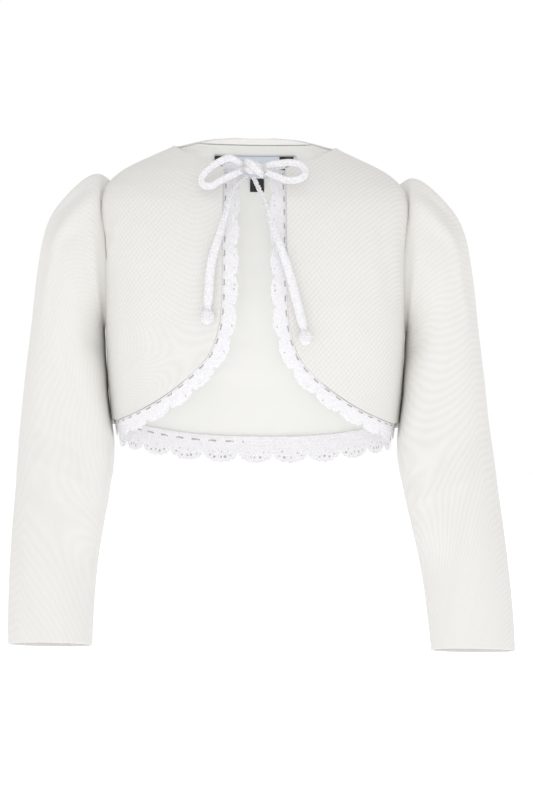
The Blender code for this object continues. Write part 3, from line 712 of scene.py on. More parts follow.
def sleeve_points(side):
    """Rows of points of a sleeve, each all round, from the armhole to the cuff."""
    columns, rows = 96, 150
    swing = FOREARM_SWING[side]
    angles = []
    for column in range(columns + 1):
        even = math.pi + 2.0 * math.pi * column / columns
        angles.append(even - SLEEVE_CROWDING * math.sin(even))
    lines = []
    for angle in angles:
        line = [armhole_point(angle, 0.0), armhole_point(angle, SLEEVE_SEAM_LIFT)]
        line += [sleeve_point(section, ring, angle, swing) for ring, section in enumerate(SLEEVE)]
        lines.append(smooth_line(line, rows))
    points = []
    for row in range(rows + 1):
        ring = [line[row] for line in lines]
        share = row / rows
        centre = sum(ring[:-1], Vector()) / columns
        moved = []
        for angle, spot in zip(angles, ring):
            lift = sleeve_relief(side, signed_degrees(angle), share, spot)
            moved.append(spot + (spot - centre).normalized() * lift * min(row / 6.0, 1.0))
        points.append(moved)
    if side == "left":
        points = [[Vector((-spot.x, spot.y, spot.z)) for spot in row] for row in points]
    return [[place(spot) for spot in row] for row in points]


def sleeve_relief(side, degrees, share, spot):
    """Soft folds of a sleeve, placed by millimetres round it and along it."""
    total = 0.0
    for start, end, half_width, height in SLEEVE_FOLDS[side]:
        here, first, last = (
            (turn * SLEEVE_DEGREE, down * SLEEVE_LENGTH) for turn, down in ((degrees, share), start, end))
        total += crease(*here, first, last, half_width, height)
    wander = Vector((spot.x * 0.02, spot.y * 0.02, spot.z * 0.011 + (7.0 if side == "left" else 0.0)))
    outer = min((180.0 - abs(degrees)) / 60.0, 1.0)
    return (total + 0.7 * noise.noise(wander)) * outer


def smooth_line(knots, count):
    """Points spread along a smooth curve through others, by their number."""
    knots = [knots[0] * 2.0 - knots[1], *knots, knots[-1] * 2.0 - knots[-2]]
    fine = []
    for index in range(1, len(knots) - 2):
        before, start, end, after = knots[index - 1 : index + 3]
        for part in range(8):
            fine.append(hermite(start, end, (end - before) / 2.0, (after - start) / 2.0, part / 8.0))
    fine.append(knots[-2])
    lengths = [0.0]
    for first, second in zip(fine, fine[1:]):
        lengths.append(lengths[-1] + (second - first).length)
    spread = []
    index = 0
    for number in range(count + 1):
        goal = lengths[-1] * number / count
        while index < len(fine) - 2 and lengths[index + 1] < goal:
            index += 1
        span = lengths[index + 1] - lengths[index]
        spread.append(fine[index].lerp(fine[index + 1], (goal - lengths[index]) / span if span else 0.0))
    return spread


def lace_path(kind, side):
    """The cut edge that a lace is sewn along, on the torso form."""
    path, steps = [], 60
    side_seam = math.pi / 2.0 - SIDE_GAP
    if kind == "front":
        foot = corner_height(FRONT_EDGE[-1][0], side)
        for step in range(steps + 1):
            height = FRONT_EDGE[0][0] + (foot - FRONT_EDGE[0][0]) * step / steps
            path.append(torso(angle_at(edge_across(height, side), height), height))
        first = angle_at(FRONT_EDGE[-1][1], foot)
        for step in range(1, 7):
            path.append(torso(first + (side_seam - first) * step / 6, foot))
    else:
        for step in range(steps + 1):
            guess = torso(-math.pi / 2.0 - SIDE_GAP - (math.pi - 2.0 * SIDE_GAP) * step / steps, HEM_AT_SIDE)
            path.append(onto_torso(Vector((guess.x, guess.y, hem_height(guess)))))
    return path


def along(path, distance):
    """Point and direction at a distance along a path."""
    for first, second in zip(path, path[1:]):
        span = (second - first).length
        if distance <= span:
            return first.lerp(second, distance / span), (second - first).normalized()
        distance -= span
    return path[-1].copy(), (path[-1] - path[-2]).normalized()


class LaceBed:
    """The surface that a lace lies on: how far along its edge, how far out from it and how high off it."""

    def __init__(self, kind, side):
        self.kind = kind
        self.mirrored = kind == "front" and side == "left"
        self.sizes = LACE_KINDS[kind]
        self.offset = FRONT_LACE_OFFSET if kind == "front" else HEM_LACE_OFFSET
        hand = -1.0 if kind == "front" else 1.0
        path = lace_path(kind, side)
        self.length = path_length(path)
        self.scallops = round(self.length / self.sizes["pitch"])
        self.pitch = self.length / self.scallops
        self.first = -self.sizes["heading"] - 1.0
        self.across = int(self.sizes["tip"] - self.first) + 4
        self.bed = []
        for step in range(int(self.length) + 2):
            middle, direction = along(path, min(step, self.length - 0.01))
            outward = torso_normal(middle).cross(direction).normalized() * hand
            line = []
            for reach in range(self.across):
                point = onto_torso(middle + outward * (self.first + reach))
                line.append((point, torso_normal(point)))
            self.bed.append(line)

    def spot(self, distance, reach, lift):
        """A point of the lace in metres."""
        distance = min(max(distance, 0.0), self.length)
        reach = min(max(reach - self.first, 0.0), self.across - 1.001)
        row, column = min(int(distance), len(self.bed) - 2), int(reach)
        first, second = distance - row, reach - column
        point = normal = None
        for step, share in ((0, 1.0 - first), (1, first)):
            for aside, part in ((0, 1.0 - second), (1, second)):
                here, outward = self.bed[row + step][column + aside]
                weight = share * part
                point = here * weight if point is None else point + here * weight
                normal = outward * weight if normal is None else normal + outward * weight
        point = point + normal * (self.offset + lift)
        if self.mirrored:
            point.x = -point.x
        return place(point)

    def edge(self, share):
        """How far out the scalloped edge lies at a share of one scallop."""
        valley, tip = self.sizes["valley"], self.sizes["tip"]
        return valley + (tip - valley) * read(SCALLOP, share % 1.0)[0]

    def rim(self, share):
        """The same with the small rounded bumps along it."""
        wave = abs(math.sin(math.pi * self.sizes["bumps"] * share)) ** 0.6
        return self.edge(share) - 0.6 + self.sizes["bump"] * wave

    def is_open(self, share, reach, spare=0.0):
        """Whether the lace has one of its slots or small holes here."""
        part, number = share % 1.0, int(share // 1.0)
        low, high = self.sizes["slots"]
        if low - spare < reach < high + spare and any(first < part < last for first, last in SLOTS):
            return True
        for index, (middle, inset, width) in enumerate(LACE_HOLES[self.kind]):
            uneven = wobble(number + 0.4, index + 0.3)
            if uneven < self.sizes["closed"]:
                continue
            middle = middle + 0.05 * wobble(number + 0.7, index + 0.6)
            inset = inset + 0.8 * wobble(number + 0.2, index + 0.9)
            away = math.hypot((part - middle) * self.pitch, reach - self.edge(middle) + inset)
            if away < width * (0.5 + 0.15 * uneven) + spare:
                return True
        return False

    def has_painted_shade(self, distance, reach):
        """Whether the net gets painted shade here, for the shade seen through it: in every hole, and in the
        slots for part of the hem only.
        """
        if not self.is_open(distance / self.pitch, reach):
            return False
        return reach > self.sizes["slots"][1] or distance < self.sizes["slot_shade_share"] * self.length


class Stitches:
    """Plump stitches, gathered a few dozen at a time, because a large mesh takes each new one slowly."""

    def __init__(self, work):
        self.work = work
        self.few = bmesh.new()
        self.count = 0

    def add(self, place_and_turn, length, width, depth):
        """One stitch, as an oval bead along its thread."""
        size = Matrix.Diagonal((length, width, depth, 1.0))
        lying = Matrix.Rotation(math.pi / 2.0, 4, "Y")
        bead = place_and_turn @ size @ lying
        bmesh.ops.create_uvsphere(self.few, u_segments=6, v_segments=5, radius=0.5, matrix=bead)
        self.count += 1
        if self.count % 24 == 0:
            self.gather()

    def gather(self):
        mesh = mesh_of("few_stitches", self.few)
        self.few = bmesh.new()
        self.work.from_mesh(mesh)
        bpy.data.meshes.remove(mesh)


def add_stitch(work, middle, length, width, depth, turned):
    """One stitch lying flat in the lace."""
    work.add(Matrix.Translation(Vector(middle)) @ Matrix.Rotation(turned, 4, "Z"), length, width, depth)


def wobble(*seeds):
    """A small steady unevenness, from -1 to 1."""
    return noise.noise(Vector((seeds[0] * 1.7 + 3.1, seeds[-1] * 2.3 + 5.7, sum(seeds) * 0.9))) * 1.6


def scallop_stitches(work, bed, number, yarn):
    """The stitches of one scallop, flat: heading, posts between its slots, and rows that turn scalloped.

    Lengths and spacings are in millimetres, and angles in radians."""
    pitch, start = bed.pitch, number * bed.pitch
    low, high = bed.sizes["slots"]
    level = (low + high) / 2.0
    upright = math.pi / 2.0
    columns = round(pitch / STITCH_SPACING)
    for row, reach in enumerate((low - 3.4, low - 1.9, low - 0.6, high + 0.7)):
        for index in range(columns):
            uneven = wobble(number, index, row)
            along_lace = start + pitch * (index + 0.5 + 0.5 * (row % 2)) / columns
            lean = (0.5 if row % 2 else -0.5) + 0.3 * uneven
            spot = (along_lace, reach + 0.2 * uneven, 0.1 * uneven)
            add_stitch(work, spot, 2.3, yarn * 0.9, yarn * 0.9, lean)
    for index in range(columns):
        share = (index + 0.5) / columns
        if not bed.is_open(share, level):
            add_stitch(work, (start + share * pitch, level, 0.0), 2.2, yarn * 0.85, yarn * 0.85, upright)
    foot = high + 1.9
    rows = bed.sizes["rows"]
    for row in range(rows + 1):
        rise = row / rows
        for index in range(columns):
            share = (index + 0.5 + 0.5 * (row % 2)) / columns
            reach = foot + (bed.rim(share) - 0.7 - foot) * rise
            spacing = (bed.edge(share) - foot) / rows
            uneven = wobble(number + 0.3, index, row)
            if bed.is_open(share, reach, 0.55):
                continue
            spread = (share % 1.0 - 0.5) * 1.1 * rise
            lean = upright - spread + (0.4 if (row + index) % 2 else -0.4) + 0.25 * uneven
            if row == rows:
                lean = math.atan2(bed.rim(share + 0.01) - bed.rim(share - 0.01), 0.02 * pitch) + 0.3 * uneven
            length = max(spacing * 1.2, 1.7) if row < rows else 2.4
            spot = (start + share * pitch, reach, 0.15 * uneven)
            add_stitch(work, spot, length, yarn * (0.9 + 0.12 * uneven), yarn * 0.95, lean)


def face_outwards(closed):
    """Turn closed shapes the right way round. On a mirrored bed they come out inside out."""
    if closed.calc_volume(signed=True) < 0.0:
        bmesh.ops.reverse_faces(closed, faces=closed.faces)


def lace_net(name, bed, thickness):
    """The close body of the lace under its stitches: a thin plate, not cut through, with painted shade in its
    slots and small holes.
    """
    columns, rows = round(bed.length / NET_SPACING), 30
    net = bmesh.new()
    bmesh.ops.create_grid(net, x_segments=columns, y_segments=rows, size=0.5)
    bmesh.ops.solidify(net, geom=net.faces, thickness=0.01)
    lowest, highest = min(vert.co.z for vert in net.verts), max(vert.co.z for vert in net.verts)
    spots = {}
    for vert in net.verts:
        distance = (vert.co.x + 0.5) * bed.length
        far = bed.rim(distance / bed.pitch) - 0.5
        top = -bed.sizes["heading"] + 0.4
        lift = ((vert.co.z - lowest) / (highest - lowest) - 0.5) * thickness / MM
        spots[vert] = (distance, top + (far - top) * (vert.co.y + 0.5), lift)
    for face in net.faces:
        distance, reach = (sum(spots[vert][axis] for vert in face.verts) / len(face.verts) for axis in (0, 1))
        # faces in the slots and small holes get the dark finish: painted shade, not openings
        face.material_index = PAINTED_SHADE_FINISH if bed.has_painted_shade(distance, reach) else BODY_FINISH
    for vert in net.verts:
        vert.co = bed.spot(*spots[vert])
    face_outwards(net)
    return mesh_of(name, net)


def lace_band(name, bed, profile, stretch):
    """A narrow closed band along a stretch of the lace, from its section of reaches and lifts."""
    start, end = stretch[0] * bed.length, stretch[1] * bed.length
    rows = round((end - start) / 1.5)
    band = bmesh.new()
    bmesh.ops.create_grid(band, x_segments=len(profile), y_segments=rows, size=0.5)
    for vert in band.verts:
        reach, lift = profile[round((vert.co.x + 0.5) * len(profile)) % len(profile)]
        vert.co = bed.spot(start + (vert.co.y + 0.5) * (end - start), reach, lift)
    bmesh.ops.remove_doubles(band, verts=band.verts, dist=0.00001)
    bmesh.ops.holes_fill(band, edges=[edge for edge in band.edges if edge.is_boundary], sides=len(profile))
    bmesh.ops.recalc_face_normals(band, faces=band.faces)
    face_outwards(band)
    for face in band.faces:
        face.material_index = PAINTED_SHADE_FINISH
    return mesh_of(name, band)


def crochet(name, kind, side, settings, finishes, nodes):
    """A strip of crocheted lace: a close body, plump stitches, and at a front's corner a thin dark tube under
    the cloth's edge, a painted shadow line.
    """
    bed = LaceBed(kind, side)
    work = bmesh.new()
    stitches = Stitches(work)
    for number in range(bed.scallops):
        scallop_stitches(stitches, bed, number, settings.yarn / MM)
    stitches.gather()
    for vert in work.verts:
        vert.co = bed.spot(vert.co.x, vert.co.y, vert.co.z)
    face_outwards(work)
    layers = [lace_net(name + "_net", bed, settings.net)]
    if kind == "front":
        # a dark tube where the cloth's edge would cast its shadow on the lace: painted shadow
        reach, lift, radius = CORNER_SHADOW_LINE
        edge = [(reach + radius * math.cos(turn), lift + radius * math.sin(turn)) for turn in SIXTHS]
        layers.append(lace_band(name + "_edge", bed, edge, CORNER_SHADOW_LINE_STRETCH))
    for layer in layers:
        work.from_mesh(layer)
        bpy.data.meshes.remove(layer)
    return ride(finished_piece(name, work, *finishes), nodes)


def tape_path(route, step):
    """Points about a step apart along a smooth route, and its length, in millimetres."""
    knots = [Vector(point) for point in route]
    rough = smooth_line(knots, 200)
    length = path_length(rough)
    return smooth_line(knots, max(round(length / step), 4)), length


def tape_frames(path, twist):
    """Place, direction, width and depth axes along a tape. Twist is the turn of its face, by share."""
    frames = []
    for index, point in enumerate(path):
        ahead, behind = path[min(index + 1, len(path) - 1)], path[max(index - 1, 0)]
        direction = (ahead - behind).normalized()
        width = direction.cross(Vector((0.0, 1.0, 0.0))).normalized()
        depth = width.cross(direction).normalized()
        turn = Matrix.Rotation(read(twist, index / (len(path) - 1))[0], 3, direction)
        frames.append((point, direction, turn @ width, turn @ depth))
    return frames


def crochet_tape(name, route, twist, settings, finish, widths):
    """A crocheted tape along a route: a flat oval tube with two rows of slanting stitches on each face."""
    path, length = tape_path(route, TAPE_STEP)
    frames = tape_frames(path, twist)
    last = len(frames) - 1
    # the tube is smaller than the tape by what its stitches stand proud
    half_width, half_depth = settings.width / MM / 2.0 - 0.45, settings.thickness / MM / 2.0 - 0.35
    segments = 12
    tape = bmesh.new()
    bmesh.ops.create_grid(tape, x_segments=segments, y_segments=last, size=0.5)
    for vert in tape.verts:
        column, row = round((vert.co.x + 0.5) * segments), round((vert.co.y + 0.5) * last)
        angle = 2.0 * math.pi * column / segments
        point, _, width, depth = frames[row]
        narrow = read(widths, row / last)[0]
        aside, proud = math.cos(angle) * half_width * narrow, math.sin(angle) * half_depth * narrow
        vert.co = point + width * aside + depth * proud
    bmesh.ops.remove_doubles(tape, verts=tape.verts, dist=0.001)
    bmesh.ops.holes_fill(tape, edges=[edge for edge in tape.edges if edge.is_boundary], sides=segments)
    count = round(length / (settings.stitch / MM))
    stitches = Stitches(tape)
    for index in range(count):
        share = (index + 0.5) / count
        point, direction, width, depth = frames[round(share * last)]
        basis = Matrix.Translation(point) @ Matrix((direction, width, depth)).transposed().to_4x4()
        narrow = read(widths, share)[0]
        for face in (-1.0, 1.0):
            for aside in (-1.0, 1.0):
                uneven = wobble(index, aside, face)
                lean = Matrix.Rotation(aside * (0.55 + 0.1 * uneven), 4, "Z")
                spot = Vector((0.0, aside * half_width * 0.48 * narrow, face * half_depth * 0.78))
                long = 4.0 * (0.7 + 0.3 * narrow)
                stitches.add(basis @ Matrix.Translation(spot) @ lean, long, 2.3 * narrow, 1.7)
    stitches.gather()
    for vert in tape.verts:
        vert.co = place(vert.co)
    bmesh.ops.recalc_face_normals(tape, faces=tape.faces)
    return finished_piece(name, tape, finish), [place(point) for point in path]


def crochet_ball(name, centre, size, finish, rows=8, wrap=14):
    """A round end of crochet: a core with rings of slanting stitches on it."""
    ball = bmesh.new()
    bmesh.ops.create_uvsphere(ball, u_segments=16, v_segments=10, radius=0.46)
    stitches = Stitches(ball)
    for row in range(rows):
        polar = math.pi * (row + 0.5) / rows
        around = max(round(wrap * math.sin(polar)), 3)
        for index in range(around):
            angle = 2.0 * math.pi * (index + 0.5 * (row % 2)) / around
            level = math.sin(polar)
            outward = Vector((level * math.cos(angle), level * math.sin(angle), math.cos(polar)))
            turn = outward.to_track_quat("Z", "Y").to_matrix().to_4x4()
            lean = Matrix.Rotation(0.6 if row % 2 else -0.6, 4, "Z")
            stitches.add(Matrix.Translation(outward * 0.445) @ turn @ lean, 0.26, 0.15, 0.11)
    stitches.gather()
    for vert in ball.verts:
        vert.co = place(Vector(centre) + Vector([vert.co[axis] * size[axis] for axis in range(3)]))
    return finished_piece(name, ball, finish)


def new_finish(name, colour, roughness, sheen=0.0):
    """A material with its node tree, its shader and its output."""
    made = bpy.data.materials.new(name)
    made.use_nodes = True
    tree = made.node_tree
    shader = tree.nodes["Principled BSDF"]
    shader.inputs["Base Color"].default_value = (*colour, 1.0)
    shader.inputs["Roughness"].default_value = roughness
    shader.inputs["Sheen Weight"].default_value = sheen
    shader.inputs["Specular IOR Level"].default_value = 0.2
    return made, tree, shader


def maths(tree, operation, first, second=None, clamp=False):
    node = tree.nodes.new("ShaderNodeMath")
    node.operation = operation
    node.use_clamp = clamp
    for socket, value in zip(node.inputs, (first, second)):
        if isinstance(value, (int, float)):
            socket.default_value = value
        elif value is not None:
            tree.links.new(value, socket)
    return node.outputs[0]


def times(tree, first, second, clamp=False):
    return maths(tree, "MULTIPLY", first, second, clamp)


def plus(tree, first, second, clamp=False):
    return maths(tree, "ADD", first, second, clamp)


def remap(tree, value, low, high):
    """The value spread out from 0 at a low limit to 1 at a high one."""
    node = tree.nodes.new("ShaderNodeMapRange")
    node.inputs["From Min"].default_value = low
    node.inputs["From Max"].default_value = high
    tree.links.new(value, node.inputs["Value"])
    return node.outputs["Result"]


def toned(colour, share):
    """The colour made darker or lighter."""
    return tuple(min(channel * share, 1.0) for channel in colour)


def threads_at(tree, where, width):
    """Ribs this far apart, in millimetres."""
    return maths(tree, "SINE", times(tree, where, 2.0 * math.pi / width))


def noise_at(tree, vector, scale, detail=3.0, roughness=0.5):
    node = tree.nodes.new("ShaderNodeTexNoise")
    node.inputs["Scale"].default_value = scale
    node.inputs["Detail"].default_value = detail
    node.inputs["Roughness"].default_value = roughness
    tree.links.new(vector, node.inputs["Vector"])
    return node.outputs["Fac"]


def blend_colours(tree, share, first, second):
    node = tree.nodes.new("ShaderNodeMix")
    node.data_type = "RGBA"
    tree.links.new(share, node.inputs["Factor"])
    for socket, value in ((node.inputs["A"], first), (node.inputs["B"], second)):
        if isinstance(value, bpy.types.NodeSocket):
            tree.links.new(value, socket)
        else:
            socket.default_value = (*value, 1.0)
    return node.outputs["Result"]


def bump(tree, shader, height, strength, distance, after=None):
    node = tree.nodes.new("ShaderNodeBump")
    node.inputs["Strength"].default_value = strength
    node.inputs["Distance"].default_value = distance
    tree.links.new(height, node.inputs["Height"])
    if after:
        tree.links.new(after, node.inputs["Normal"])
    tree.links.new(node.outputs["Normal"], shader.inputs["Normal"])
    return node.outputs["Normal"]


def cloth_axes(tree):
    """The cloth's own coordinates in millimetres, together and each on its own."""
    uv = tree.nodes.new("ShaderNodeUVMap")
    uv.uv_map = "Cloth"
    size = tree.nodes.new("ShaderNodeMapping")
    size.inputs["Scale"].default_value = (1.0 / MM, 1.0 / MM, 1.0 / MM)
    tree.links.new(uv.outputs["UV"], size.inputs["Vector"])
    split = tree.nodes.new("ShaderNodeSeparateXYZ")
    tree.links.new(size.outputs["Vector"], split.inputs["Vector"])
    return size.outputs["Vector"], split.outputs["X"], split.outputs["Y"]


def honeycomb_cloth(name, settings, turned=1.0, strength=0.6):
    """The honeycomb weave: rows of cells set half a cell apart, the diagonal on the turned side stronger."""
    made, tree, shader = new_finish(name, settings.colour, 0.92, 0.12)
    vector, first, second = cloth_axes(tree)
    drift = noise_at(tree, vector, 0.12)
    wander = times(tree, maths(tree, "SUBTRACT", drift, 0.5), 3.2)
    first = plus(tree, first, wander)
    across = times(tree, first, 2.0 * math.pi / (settings.cell_width / MM))
    down = times(tree, plus(tree, second, wander), math.pi / (settings.cell_row / MM))
    cells = times(tree, maths(tree, "COSINE", across), maths(tree, "COSINE", down))
    slant = maths(tree, "COSINE", maths(tree, "SUBTRACT", across, times(tree, down, turned)))
    pattern = plus(tree, times(tree, cells, 0.75), times(tree, slant, 0.25))
    fine = noise_at(tree, vector, 0.4, 4.0, 0.7)
    broad = noise_at(tree, vector, 0.03, 2.0)
    depth = times(tree, remap(tree, pattern, -1.0, 1.0), plus(tree, 0.1, times(tree, fine, 1.6)), clamp=True)
    depth = times(tree, depth, strength)
    ground = blend_colours(tree, broad, toned(settings.colour, 0.975), toned(settings.colour, 1.02))
    # the cells are toned towards the cell colour by their depth: painted shade in the weave's hollows
    colour = blend_colours(tree, depth, ground, settings.cell_shade_colour)
    tree.links.new(colour, shader.inputs["Base Color"])
    yarn = noise_at(tree, vector, 2.2, 3.0, 0.65)
    bump(tree, shader, plus(tree, times(tree, depth, -1.0), times(tree, yarn, 0.25)), 0.4, 0.00025)
    return made


def lining_cloth(name, colour_in):
    """The smooth lining: a fine plain weave with faint crush marks, in its bump and as painted shade in its
    colour.
    """
    made, tree, shader = new_finish(name, colour_in, 0.7, 0.1)
    vector, first, second = cloth_axes(tree)
    threads = times(tree, threads_at(tree, first, 0.5), threads_at(tree, second, 0.5))
    stretched = tree.nodes.new("ShaderNodeMapping")
    stretched.inputs["Scale"].default_value = (0.35, 1.0, 1.0)
    tree.links.new(vector, stretched.inputs["Vector"])
    crush = noise_at(tree, stretched.outputs["Vector"], 0.05, 3.0, 0.45)
    shade = plus(tree, times(tree, crush, 0.8), times(tree, threads, 0.08), clamp=True)
    colour = blend_colours(tree, shade, toned(colour_in, 0.965), colour_in)
    tree.links.new(colour, shader.inputs["Base Color"])
    soft = bump(tree, shader, crush, 0.35, 0.004)
    bump(tree, shader, threads, 0.2, 0.00008, soft)
    return made


def cotton(name, colour, shade_colour):
    """Soft crochet cotton: fine fibres, and a little shade between the strands."""
    made, tree, shader = new_finish(name, colour, 0.9, 0.15)
    where = tree.nodes.new("ShaderNodeTexCoord")
    fibres = noise_at(tree, where.outputs["Object"], 900.0, 4.0, 0.6)
    strands = noise_at(tree, where.outputs["Object"], 480.0, 2.0, 0.5)
    shade = times(tree, remap(tree, strands, 0.42, 0.7), 0.75)
    tree.links.new(blend_colours(tree, shade, colour, shade_colour), shader.inputs["Base Color"])
    bump(tree, shader, plus(tree, times(tree, fibres, 0.5), strands), 0.6, 0.0003)
    return made


def label_cloth(name, colour, ends, bands):
    """A plain woven label with dark bands near its ends: satin threads and no lettering."""
    made, tree, shader = new_finish(name, colour, 0.5)
    _, first, second = cloth_axes(tree)
    ribs = threads_at(tree, second, 0.45)
    twill = threads_at(tree, plus(tree, first, second), 0.6)
    satin = plus(tree, 0.5, times(tree, plus(tree, ribs, twill), 0.2))
    middle = blend_colours(tree, satin, toned(colour, 0.8), colour)
    for start, end in bands:
        black = blend_colours(tree, satin, toned(ends, 0.6), [channel * 2.2 + 0.004 for channel in ends])
        away = maths(tree, "ABSOLUTE", maths(tree, "SUBTRACT", first, (start + end) / 2.0))
        inside = maths(tree, "LESS_THAN", away, (end - start) / 2.0)
        middle = blend_colours(tree, inside, middle, black)
    tree.links.new(middle, shader.inputs["Base Color"])
    bump(tree, shader, satin, 0.4, 0.0001)
    return made


def finish_named(name, maker, *arguments):
    """A finish that several operators share, made once."""
    return bpy.data.materials.get(name) or maker(name, *arguments)


class BOLERO_OT_fronts(Operator):
    """Make the two fronts of honeycomb cloth"""

    bl_idname = "bolero.fronts"
    bl_label = "Fronts"

    def execute(self, context):
        cloth = context.scene.bolero.cloth
        for side in ("left", "right"):
            slant = 1.0 if side == "right" else -1.0
            finish = finish_named("front_cloth_" + side, honeycomb_cloth, cloth, slant)
            points = front_points(side)
            piece = lay_grid("cloth_front_" + side, points, finish, cloth.thickness, flip=side == "right")
            ride(piece, ["front_" + side])
        return {"FINISHED"}


class BOLERO_OT_back(Operator):
    """Make the back of honeycomb cloth, its neck facing and its lining"""

    bl_idname = "bolero.back"
    bl_label = "Back and lining"

    def execute(self, context):
        cloth = context.scene.bolero.cloth
        finish = finish_named("back_cloth", honeycomb_cloth, cloth, 1.0)
        back = lay_grid("cloth_back", back_points(0.0), finish, cloth.thickness)
        ride(back, ["back"])
        points = back_points(LINING_OFFSET, top=LINING_TOP, foot=LINING_SHORTER)
        smooth = finish_named("lining", lining_cloth, tuple(cloth.lining_colour))
        lining = lay_grid("lining_back", points, smooth, cloth.lining_thickness)
        ride(lining, ["back_lining"])
        rows = back_points(LINING_OFFSET, rows=260)
        rows = [row for row in rows if row[0].z > FACING_FOOT * MM - TILT * row[0].x]
        plain = finish_named("facing_cloth", lining_cloth, tuple(cloth.lining_colour))
        facing = lay_grid("facing_back_neck", rows, plain, cloth.lining_thickness)
        ride(facing, ["back_neck_facing"])
        return {"FINISHED"}


class BOLERO_OT_sleeves(Operator):
    """Make the two sleeves, with pleats at their heads"""

    bl_idname = "bolero.sleeves"
    bl_label = "Sleeves"

    def execute(self, context):
        cloth = context.scene.bolero.cloth
        for side in ("left", "right"):
            slant = 1.0 if side == "right" else -1.0
            finish = finish_named("sleeve_cloth_" + side, honeycomb_cloth, cloth, slant, SLEEVE_WEAVE)
            turned = math.radians(SLEEVE_GRAIN) * slant
            piece = lay_grid(
                "cloth_sleeve_" + side, sleeve_points(side), finish, cloth.thickness,
                closed=True, turned=turned, flip=side == "right",
            )
            ride(piece, ["sleeve_" + side])
        return {"FINISHED"}


class BOLERO_OT_lace(Operator):
    """Make the crocheted lace along both fronts and the back hem"""

    bl_idname = "bolero.lace"
    bl_label = "Lace"

    def execute(self, context):
        lace = context.scene.bolero.lace
        finish = finish_named("lace_cotton", cotton, tuple(lace.colour), tuple(lace.shade_colour))
        # The body between the stitches is toned darker than they are: painted shade between the stitches.
        body = finish_named("lace_body", cotton, toned(lace.colour, 0.92), tuple(lace.shade_colour))
        # Dark cotton that paints shade into the lace's holes and slots, and the shadow line under a front's
        # cloth edge.
        seam = finish_named("lace_seam", cotton, tuple(lace.painted_shade_colour), toned(lace.painted_shade_colour, 0.8))
        finishes = (finish, body, seam)
        for side in ("left", "right"):
            crochet("crochet_front_" + side, "front", side, lace, finishes, ["lace_front_" + side])
        crochet("crochet_back_hem", "hem", "right", lace, finishes, ["lace_back_hem"])
        return {"FINISHED"}


class BOLERO_OT_tie(Operator):
    """Make the crocheted tie: knot, two loops, two tails and their round ends"""

    bl_idname = "bolero.tie"
    bl_label = "Tie"

    def execute(self, context):
        tie = context.scene.bolero.tie
        finish = finish_named("tie_cotton", cotton, tuple(tie.colour), toned(tie.colour, 0.86))
        # turns of the tape's face, and shares of its width, along it
        face_on = ((0.0, 0.0), (1.0, 0.0))
        edge_on = ((0.0, 1.4), (0.22, 1.15), (0.5, 0.35), (1.0, 0.0))
        gathered = ((0.0, 0.8), (0.12, 1.0), (0.88, 1.0), (1.0, 0.8))
        widening = ((0.0, 0.55), (0.2, 0.62), (0.42, 1.0), (0.7, 1.28), (0.93, 1.32), (1.0, 0.8))
        for side in ("left", "right"):
            end = crochet_ball("tape_end_" + side, KNOB_PLACES[side], KNOB_SIZE, finish)
            ride(end, ["tie_knob_" + side])
            for kind, twist, widths in (("loop", face_on, gathered), ("tail", edge_on, widening)):
                name = "tie_" + kind + "_" + side
                route = TIE_ROUTES[name]
                piece, path = crochet_tape("tape_" + kind + "_" + side, route, twist, tie, finish, widths)
                ride(piece, [name])
        knot = crochet_ball("tape_knot", KNOT_CENTRE, KNOT_SIZE, finish, rows=5, wrap=8)
        ride(knot, ["tie_knot"])
        swollen = ((0.0, 0.75), (0.5, 1.1), (1.0, 0.75))
        slender = ((0.0, 0.6), (0.3, 0.9), (1.0, 0.9))
        wrap, _ = crochet_tape("tape_wrap", KNOT_WRAP, face_on, tie, finish, swollen)
        ride(wrap, ["tie_knot"])
        for side, end_point in zip(("left", "right"), KNOT_ARM_ENDS):
            route = [Vector(end_point).lerp(Vector(KNOT_CENTRE), share) for share in (0.0, 0.4, 0.75, 1.0)]
            arm, _ = crochet_tape("tape_arm_" + side, route, face_on, tie, finish, slender)
            ride(arm, ["tie_knot"])
        return {"FINISHED"}


def label_points(centre, top, bottom, half_width):
    """Rows of points of a label, on the inside of the back."""
    points = []
    for row in range(17):
        line = []
        for column in range(49):
            height = top + (bottom - top) * row / 16
            across = centre + half_width * (column / 24 - 1.0)
            angle = math.copysign(angle_at(across, height, front=False), across)
            spot = torso(angle, height)
            line.append(place(spot + torso_normal(spot) * (relief(spot, True) + LABEL_OFFSET)))
        points.append(line)
    return points


class BOLERO_OT_labels(Operator):
    """Make the plain label and the tab at the back neck"""

    bl_idname = "bolero.labels"
    bl_label = "Labels"

    def execute(self, context):
        labels = context.scene.bolero.labels
        black = tuple(labels.black)
        finish = finish_named("label_cloth", label_cloth, tuple(labels.colour), black, LABEL_BANDS)
        tab = finish_named("tab_cloth", label_cloth, toned(labels.black, 2.0), black, ())
        for name, node, sizes, look, slot in (
            ("woven_label", "neck_label", NECK_LABEL, finish, "label"),
            ("woven_tab", "size_label", SIZE_LABEL, tab, "black_tab"),
        ):
            ride(lay_grid(name, label_points(*sizes), look, LABEL_THICKNESS), [node])
        return {"FINISHED"}


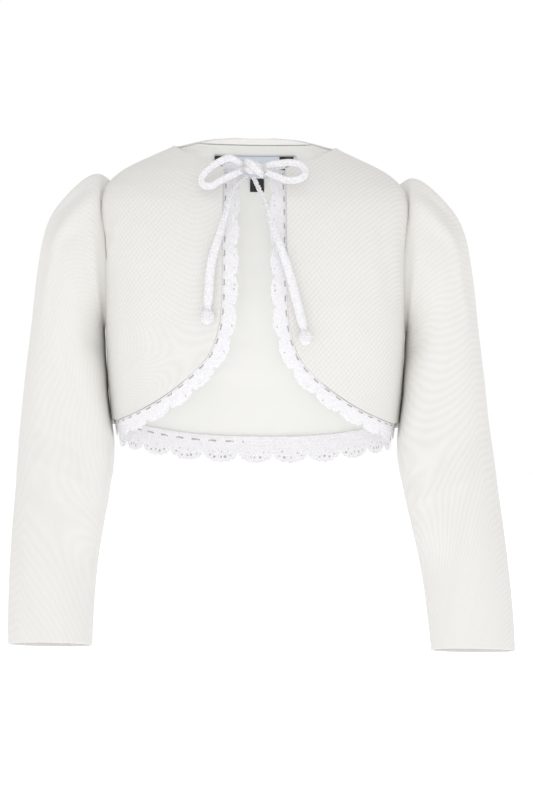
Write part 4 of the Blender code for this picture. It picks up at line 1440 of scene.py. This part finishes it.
class BOLERO_OT_stage(Operator):
    """Make the pale floor, the soft studio light and the camera"""

    bl_idname = "bolero.stage"
    bl_label = "Stage"

    def execute(self, context):
        stage = context.scene.bolero.stage
        floor = bmesh.new()
        bmesh.ops.create_grid(floor, x_segments=2, y_segments=2, size=FLOOR_REACH)
        bmesh.ops.translate(floor, verts=floor.verts, vec=(0.0, 0.0, stage.floor_height))
        made, _, shader = new_finish("floor_white", (0.95, 0.95, 0.95), 1.0)
        shader.inputs["Emission Color"].default_value = (1.0, 1.0, 1.0, 1.0)
        shader.inputs["Emission Strength"].default_value = FLOOR_GLOW
        finished_piece("floor", floor, made)
        world = bpy.data.worlds.new("White room")
        world.use_nodes = True
        sky = world.node_tree.nodes["Background"]
        sky.inputs["Color"].default_value = (1.0, 1.0, 1.0, 1.0)
        # the room is seen white, and gives a little less light than that
        tree = world.node_tree
        seen = tree.nodes.new("ShaderNodeLightPath")
        strength = plus(tree, times(tree, seen.outputs["Is Camera Ray"], 1.0 - stage.sky), stage.sky)
        tree.links.new(strength, sky.inputs["Strength"])
        context.scene.world = world
        for name, where, towards, size, power in LIGHTS:
            add_light(name, where, towards, size, getattr(stage, power))
        camera = bpy.data.cameras.new("Camera")
        camera.sensor_width = SENSOR
        camera.lens = SENSOR * -CAMERA_PLACE[1] / VIEW_HEIGHT
        camera.clip_end = 60.0
        eye = bpy.data.objects.new("Camera", camera)
        eye.location = CAMERA_PLACE
        eye.rotation_euler = (math.pi / 2.0, 0.0, 0.0)
        context.collection.objects.link(eye)
        context.scene.camera = eye
        context.scene.view_settings.view_transform = "Standard"
        return {"FINISHED"}


def add_light(name, where, towards, size, power):
    lamp = bpy.data.lights.new(name, "AREA")
    lamp.shape = "SQUARE"
    lamp.size = size
    lamp.energy = power
    lit = bpy.data.objects.new(name, lamp)
    lit.location = where
    lit.rotation_euler = (Vector(towards) - Vector(where)).to_track_quat("-Z", "Y").to_euler()
    lit.visible_camera = False
    bpy.context.collection.objects.link(lit)


class BOLERO_PT_panel(Panel):
    """Buttons that make the jacket's pieces"""

    bl_idname = "BOLERO_PT_panel"
    bl_label = "Bolero jacket"
    bl_space_type = "VIEW_3D"
    bl_region_type = "UI"
    bl_category = "Bolero"

    def draw(self, context):
        for operator in OPERATORS:
            self.layout.operator(operator.bl_idname)


OPERATORS = (
    BOLERO_OT_stage,
    BOLERO_OT_fronts,
    BOLERO_OT_back,
    BOLERO_OT_sleeves,
    BOLERO_OT_lace,
    BOLERO_OT_tie,
    BOLERO_OT_labels,
)
CLASSES = (
    BoleroCloth, BoleroLace, BoleroTie, BoleroLabels, BoleroStage, BoleroSettings,
    *OPERATORS, BOLERO_PT_panel,
)


def register():
    for made in CLASSES:
        bpy.utils.register_class(made)
    bpy.types.Scene.bolero = PointerProperty(type=BoleroSettings)


def unregister():
    del bpy.types.Scene.bolero
    for made in reversed(CLASSES):
        bpy.utils.unregister_class(made)


def main():
    register()
    bpy.ops.bolero.stage()
    bpy.ops.bolero.fronts()
    bpy.ops.bolero.back()
    bpy.ops.bolero.sleeves()
    bpy.ops.bolero.lace()
    bpy.ops.bolero.tie()
    bpy.ops.bolero.labels()


if __name__ == "__main__":
    main()
